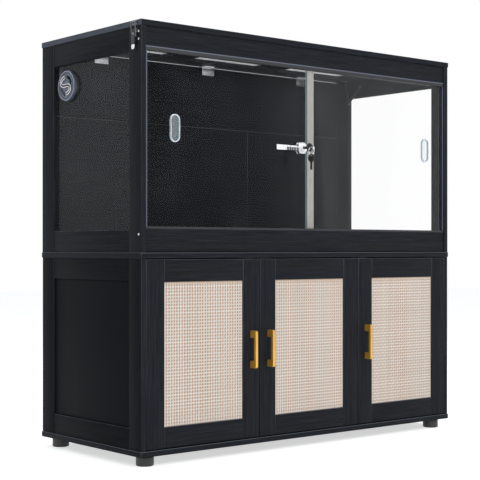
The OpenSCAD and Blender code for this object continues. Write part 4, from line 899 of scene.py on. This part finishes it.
VENT_PLACE = (VENT_X, VENT_Y, VENT_Z)
flange = turned(VENT_PLACE, 0, [
    (34.75, -4.0), (34.75, -7.3), (35.2, -7.9), (36.2, -7.9), (36.8, -7.2), (39.6, -7.0), (40.2, -7.8),
    (41.2, -8.0), (41.9, -7.6), (42.4, -6.2), (43.9, -0.8), (43.9, 0.0), (33.0, 0.0), (33.0, -4.0)], 96)
sleeve = turned(VENT_PLACE, 0, [
    (SLEEVE_R - 3.5, 0.0), (SLEEVE_R, 0.0), (SLEEVE_R, 11.4), (SLEEVE_R - 0.6, 12.0),
    (SLEEVE_R - 2.9, 12.0), (SLEEVE_R - 3.5, 11.4)], 96)
nut = turned(VENT_PLACE, 0, [
    (SLEEVE_R + 0.1, 4.0), (38.4, 4.0), (39.0, 4.6), (39.0, 9.4), (38.4, 10.0), (SLEEVE_R + 0.1, 10.0)], 96)
plate = slotted_disc(33.6, VENT_X - 4.0, VENT_X, hole=4.1)
flange_finish_groove_shade = flange_metal_groove_shade()
piece("vent_flange_turned", joined(flange, plate), flange_finish_groove_shade, "cabinet", ["vent_housing"])
piece("vent_inner_ring", joined(sleeve, nut), black_plastic, "cabinet", ["vent_housing"])
axle = turned(VENT_PLACE, 0, [(0.0, -4.4), (4.0, -4.4), (4.0, -0.4), (3.6, 0.0), (0.0, 0.0)], 32)
piece("vent_cover_disc", joined(slotted_disc(34.5, COVER_X, COVER_X + 3.0, rim=0.5), axle),
      flange_finish_groove_shade, "vent_cover", ["vent_cover"])
piece("vent_cover_grip", vent_grip(), grip_metal_painted_light(), "vent_cover", ["vent_cover"], sharp=60.0)
# Painted highlight: light beads along the flange's two ridges
rims = joined(bead(arc((0, 0), 41.0, 0, 354, 60), VENT_X - 7.5, 0.8),
              bead(arc((0, 0), 35.7, 0, 354, 60), VENT_X - 7.4, 0.5))
piece("vent_flange_highlight_rims", rims, vent_rim_highlight, "cabinet", None, sharp=80.0)


# ---------------------------------------------------------------- finger pulls

PULL_W, PULL_H = 32.0, 75.0


def upright_stadium(inset, x, z):
    """A stadium inside a pull's outline, in the X-Z plane about a place, and its outward directions."""
    flat, way = stadium(PULL_W - inset, PULL_H - inset)
    level = np.zeros(len(flat))
    return (np.column_stack([flat[:, 0] + x, level, flat[:, 1] + z]),
            np.column_stack([way[:, 0], level, way[:, 1]]))


def finger_pull(name, node, body, y0):
    """A clear cup through the pane with a rim on each face, painted bright as its highlight; y0 is the
    pane's front face.
    """
    glass = 4.0
    low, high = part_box(node)
    x, z = (low[0] + high[0]) / 2 / MM, (low[2] + high[2]) / 2 / MM
    path, side = upright_stadium(3.2, x, z)
    section = np.array([(-1.6, 0.0), (1.6, 0.0), (1.4, 0.55), (0.7, 0.8), (-0.7, 0.8), (-1.4, 0.55)])
    front = carried(path + (0, y0, 0), side, (0, -1, 0), section)
    rear = carried(path + (0, y0 + glass, 0), side, (0, 1, 0), section)
    piece(f"{name}_rims", joined(front, rear), rim_plastic_painted_light, body, [node], sharp=50.0)
    path, side = upright_stadium(6.4, x, z)
    wall = carried(path + (0, y0, 0), side, (0, 1, 0), [
        (-0.9, -0.3), (0.2, -0.3), (0.2, glass + 0.3), (-0.9, glass + 0.3)])
    flat, _ = stadium(PULL_W - 8.4, PULL_H - 8.4)
    cup_floor = prism(flat + (x, z), 1, y0 + glass - 0.8, y0 + glass)
    piece(f"{name}_cup", joined(wall, cup_floor), clear_plastic, body, [node], sharp=50.0)


FRONT_PANE_Y, REAR_PANE_Y = Y_FRONT + 7.25, Y_FRONT + 15.75
finger_pull("rear_pull", "glass_pull_left", "left_glass_door", REAR_PANE_Y)
finger_pull("front_pull", "glass_pull_right", "right_glass_door", FRONT_PANE_Y)


# ---------------------------------------------------------------- tracks and channels

TRACK_Y, LOW_TRACK_Z, TOP_TRACK_Z = FASCIA_Y, Z_FLOOR + RAIL_H, Z_CASE - FASCIA_H
LOW_TRACK_H, TOP_TRACK_H, CHANNEL_D, TRACK_CLEAR = 5.0, 12.0, 6.5, 0.05
CHANNEL_Z = (LOW_TRACK_Z + LOW_TRACK_H + TRACK_CLEAR, TOP_TRACK_Z - TOP_TRACK_H - TRACK_CLEAR)
TRACK_X = (TRACK_CLEAR - UPPER_IN, UPPER_IN - TRACK_CLEAR)


def slotted_section(depth):
    """Section of a track or channel, as (y, h): a floor of 1 mm and two slots of 4.5 mm."""
    edges = [0.0, 1.5, 6.0, 10.0, 14.5, 16.0]
    heights = [depth, 1.0, depth, 1.0, depth]
    section = [(edges[0], 0.0)]
    for left, right, h in zip(edges[:-1], edges[1:], heights):
        section += [(left, h), (right, h)]
    section.append((edges[-1], 0.0))
    return np.array(section) + (TRACK_Y, 0.0)


def edge_strip(low_x, high_x, low_y, high_y):
    """A thin strip's outline, as (x, y) measured from the tracks' front."""
    y0, y1 = TRACK_Y + low_y, TRACK_Y + high_y
    return [(low_x, y0), (high_x, y0), (high_x, y1), (low_x, y1)]


low_track = prism(slotted_section(LOW_TRACK_H) + (0.0, LOW_TRACK_Z), 0, *TRACK_X)
top_track = prism(slotted_section(TOP_TRACK_H) * (1, -1) + (0.0, TOP_TRACK_Z), 0, *TRACK_X)
piece("glass_track_extrusions", joined(low_track, top_track), track_coat, "cabinet", ["glass_tracks"],
      bevel=0.35)
# Painted highlight: a light lip along the top track's front edge
lip = np.array([(-0.25, -0.2), (0.3, -0.2), (0.3, -3.4), (-0.25, -3.2)]) + (TRACK_Y, TOP_TRACK_Z)
piece("glass_track_highlight_lip", prism(lip, 0, 0.1 - UPPER_IN, UPPER_IN - 0.1), track_edge_highlight, "cabinet", None,
      sharp=60.0)
# Painted highlight: light strips along the side channels' front edges
edges = [prism(edge_strip(x, x + 2.6, -0.25, 0.3), 2, CHANNEL_Z[0] + 0.05, CHANNEL_Z[1] - 0.05)
         for x in (3.75 - UPPER_IN, UPPER_IN - 6.35)]
piece("side_channel_highlight_edges", joined(*edges), track_edge_highlight, "cabinet", None, sharp=60.0)
channel = slotted_section(CHANNEL_D)[:, ::-1]
channels = [prism(channel * (sign, 1) + (sign * TRACK_X[0], 0.0), 2, *CHANNEL_Z) for sign in (1, -1)]
piece("side_channel_extrusions", joined(*channels), channel_coat, "cabinet", ["side_channels"],
      bevel=0.35)


# ---------------------------------------------------------------- latches, lock and feet

LATCH_Y = Y_FRONT + 28.5


def lever_part(sign, heights, widths, curl):
    """Part of a lever's blade: a shallow channel section carried down it; curl moves it outwards."""
    path = np.column_stack([sign * (605.3 + np.asarray(curl)), np.full(len(heights), LATCH_Y), heights])
    wide = np.column_stack([np.zeros(len(widths)), widths, np.zeros(len(widths))])
    half = [(-1.0, 0.0), (-1.0, 1.2), (-0.9, 1.7), (-0.7, 1.9)]
    section = half + [(-a, b) for a, b in half[::-1]]
    return carried(path, wide, (sign, 0, 0), section, False)


def drum(x, z, radius, half):
    """A round pin along Y with eased ends."""
    ease = 0.4
    return turned((x, LATCH_Y, z), 1, [
        (0.0, -half), (radius - ease, -half), (radius, ease - half), (radius, half - ease),
        (radius - ease, half), (0.0, half)], 24)


for side, sign in SIDES:
    body = f"latch_lever_{side}"
    blade = lever_part(sign, [1128.0, 1122.0, 1113.0, 1103.0], [7.85, 7.85, 7.3, 6.5], [0.0] * 4)
    piece(f"latch_blade_{side}", blade, black_zinc, body, [body], bevel=0.3)
    # Painted highlight: the curled tip in bright nickel against the dark blade
    tip = lever_part(sign, [1103.3, 1100.0, 1096.5, 1093.5, 1091.8, 1091.0], [6.6, 6.5, 6.2, 5.4, 4.0, 2.2],
                     [0.02, 0.1, 0.3, 0.5, 0.5, 0.45])
    piece(f"latch_tip_highlight_{side}", tip, nickel, body, [body], sharp=60.0)
    x = sorted((sign * 601.5, sign * 605.25))
    web = plank_shape((x[0], LATCH_Y - 6, 1120.0), (x[1], LATCH_Y + 6, 1132.0), 1, 0.8)
    hub = joined(drum(sign * 604.5, 1132.0, 2.8, 6.0), drum(sign * 603.5, 1124.0, 2.8, 6.0), web)
    piece(f"latch_hub_{side}", hub, dark_zinc, body, [body], sharp=50.0)


def bar_section(start, end, share0, share1, radius):
    """Outline of a stretch of a stay's arm between two pivots, as (y, z): round where it meets a pivot."""
    start, end = np.asarray(start, float), np.asarray(end, float)
    way = (end - start) / np.linalg.norm(end - start)
    turn = math.degrees(math.atan2(way[1], way[0]))
    first, last = start + (end - start) * share0, start + (end - start) * share1
    near = arc(first, radius, turn + 90, turn + 270, 13 if share0 == 0 else 2)
    far = arc(last, radius, turn - 90, turn + 90, 13 if share1 == 1 else 2)
    return np.concatenate([near, far])


STAY_POST, STAY_ELBOW = (Y_REAR - 123.0, Z_CASE - 25.0), (Y_REAR - 63.0, Z_CASE - 78.0)
STAY_X, STAY_R, SLEEVE_END = (580.5, 582.5), 5.5, 0.45
for side, sign in SIDES:
    x = sorted(sign * face for face in STAY_X)
    body = f"stay_arm_{side}"
    bright = prism(bar_section(STAY_POST, STAY_ELBOW, 0, SLEEVE_END, STAY_R), 0, *x)
    dark = prism(bar_section(STAY_POST, STAY_ELBOW, SLEEVE_END, 1, STAY_R), 0, *x)
    boss = turned((sign * (STAY_X[0] - 0.1), *STAY_ELBOW), 0, [
        (0.0, -0.15), (3.25, -0.15), (3.25, 0.15), (0.0, 0.15)], 24)
    piece(f"stay_sleeve_{side}", bright, nickel, body, [body], bevel=0.4)
    piece(f"stay_bar_{side}", joined(dark, boss), dark_zinc, body, [body], bevel=0.1)


def rounded_box(half_w, half_h, radius, steps=7):
    """Outline of a rectangle with round corners, about its middle."""
    w, h = half_w - radius, half_h - radius
    return np.concatenate([arc((w, h), radius, 0, 90, steps), arc((-w, h), radius, 90, 180, steps),
                           arc((-w, -h), radius, 180, 270, steps), arc((w, -h), radius, 270, 360, steps)])


# The lock's block in front of the bar, its plate behind it, and two bridges over and under the bar
LOCK_Y = Y_FRONT + 1.28
lock_outline = rounded_box(14.0, 16.0, 8.0) + (LOCK_X, LOCK_Z)
block = prism(lock_outline, 1, LOCK_Y, LOCK_Y + 10.75)
rear_plate = prism(lock_outline, 1, LOCK_Y + 12.45, LOCK_Y + 13.4)
bridges = [prism(rounded_box(13.0, 3.6, 2.0) + (LOCK_X, LOCK_Z + z), 1, LOCK_Y + 10.8, LOCK_Y + 12.4)
           for z in (-11.6, 11.6)]
piece("lock_case", joined(block, rear_plate, *bridges), nickel, "glass_lock", ["lock_body"],
      bevel=0.7)
barrel = turned((LOCK_X, LOCK_Y, LOCK_Z), 1, [
    (7.06, 0.4), (11.5, 0.4), (11.5, -7.9), (10.9, -8.7), (10.0, -9.0), (8.8, -9.0), (8.3, -8.6),
    (7.4, -8.6), (7.06, -8.2)], 64)
piece("lock_barrel", barrel, lock_plate, "glass_lock", ["lock_body"], sharp=45.0)

FOOT_X, FOOT_INSET = 560.0, 40.0
FOOT_OUTLINE = [(0.0, 0.0), (20.6, 0.0), (22.6, 0.7), (23.7, 2.2), (24.0, 4.4), (24.0, 22.4), (23.7, 23.5),
                (22.8, 24.0), (21.0, 24.0), (21.0, Z_FOOT), (0.0, Z_FOOT)]
feet = [turned((x, y, 0.0), 2, FOOT_OUTLINE, 64)
        for x in (-FOOT_X, FOOT_X) for y in (Y_FRONT + FOOT_INSET, Y_REAR - FOOT_INSET)]
piece("feet_turned", joined(*feet), black_plastic, "cabinet", ["feet"], sharp=45.0)


# ---------------------------------------------------------------- surroundings

def plain_floor():
    """A wide pale floor, white where the camera looks at it away from the object's shadow."""
    far = 12.0
    mesh = bpy.data.meshes.new("floor")
    mesh.from_pydata([(-far, -far, 0), (far, -far, 0), (far, far, 0), (-far, far, 0)], [], [(0, 1, 2, 3)])
    made = bpy.data.objects.new("floor", mesh)
    bpy.context.scene.collection.objects.link(made)
    material = bpy.data.materials.new("floor_white")
    material.use_nodes = True
    shader = next(n for n in material.node_tree.nodes if n.type == "BSDF_PRINCIPLED")
    shader.inputs["Base Color"].default_value = (0.86, 0.86, 0.86, 1.0)
    shader.inputs["Roughness"].default_value = 0.9
    shader.inputs["Specular IOR Level"].default_value = 0.1
    shader.inputs["Emission Color"].default_value = (1.0, 1.0, 1.0, 1.0)
    shader.inputs["Emission Strength"].default_value = 0.60
    mesh.materials.append(material)


def studio_light():
    """Three large soft lamps and a world that the camera, metal and glass see as white."""
    world = bpy.data.worlds.new("studio")
    bpy.context.scene.world = world
    world.use_nodes = True
    tree = world.node_tree
    tree.nodes.clear()
    output = tree.nodes.new("ShaderNodeOutputWorld")
    mix = tree.nodes.new("ShaderNodeMixShader")
    soft, white = tree.nodes.new("ShaderNodeBackground"), tree.nodes.new("ShaderNodeBackground")
    path = tree.nodes.new("ShaderNodeLightPath")
    soft.inputs["Color"].default_value = (0.92, 0.96, 1.0, 1.0)
    soft.inputs["Strength"].default_value = 0.42
    white.inputs["Color"].default_value = (1.0, 1.0, 1.0, 1.0)
    white.inputs["Strength"].default_value = 1.0
    seen = path.outputs["Is Camera Ray"]
    for ray in ("Is Glossy Ray", "Is Transmission Ray"):
        either = tree.nodes.new("ShaderNodeMath")
        either.operation = "MAXIMUM"
        tree.links.new(seen, either.inputs[0])
        tree.links.new(path.outputs[ray], either.inputs[1])
        seen = either.outputs[0]
    tree.links.new(seen, mix.inputs[0])
    tree.links.new(soft.outputs[0], mix.inputs[1])
    tree.links.new(white.outputs[0], mix.inputs[2])
    tree.links.new(mix.outputs[0], output.inputs["Surface"])
    for name, place, aim, size, power in (
            ("key", (0.2, -3.7, 3.2), (0, 0, 0.6), 2.4, 100.0),
            ("left", (-2.6, 1.8, 2.9), (-0.6, 0.2, 0.9), 1.8, 26.0),
            ("top", (0.3, 0.2, 4.2), (0, 0, 0.6), 2.6, 50.0)):
        data = bpy.data.lights.new(name, "AREA")
        data.shape, data.size, data.energy = "SQUARE", size, power
        lamp = bpy.data.objects.new(name, data)
        bpy.context.scene.collection.objects.link(lamp)
        lamp.location = place
        x, y, z = np.array(aim, float) - np.array(place, float)
        lamp.rotation_euler = (math.atan2(math.hypot(x, y), -z), 0.0, math.atan2(-x, y))


plain_floor()
studio_light()
bpy.context.scene.view_settings.view_transform = "Standard"
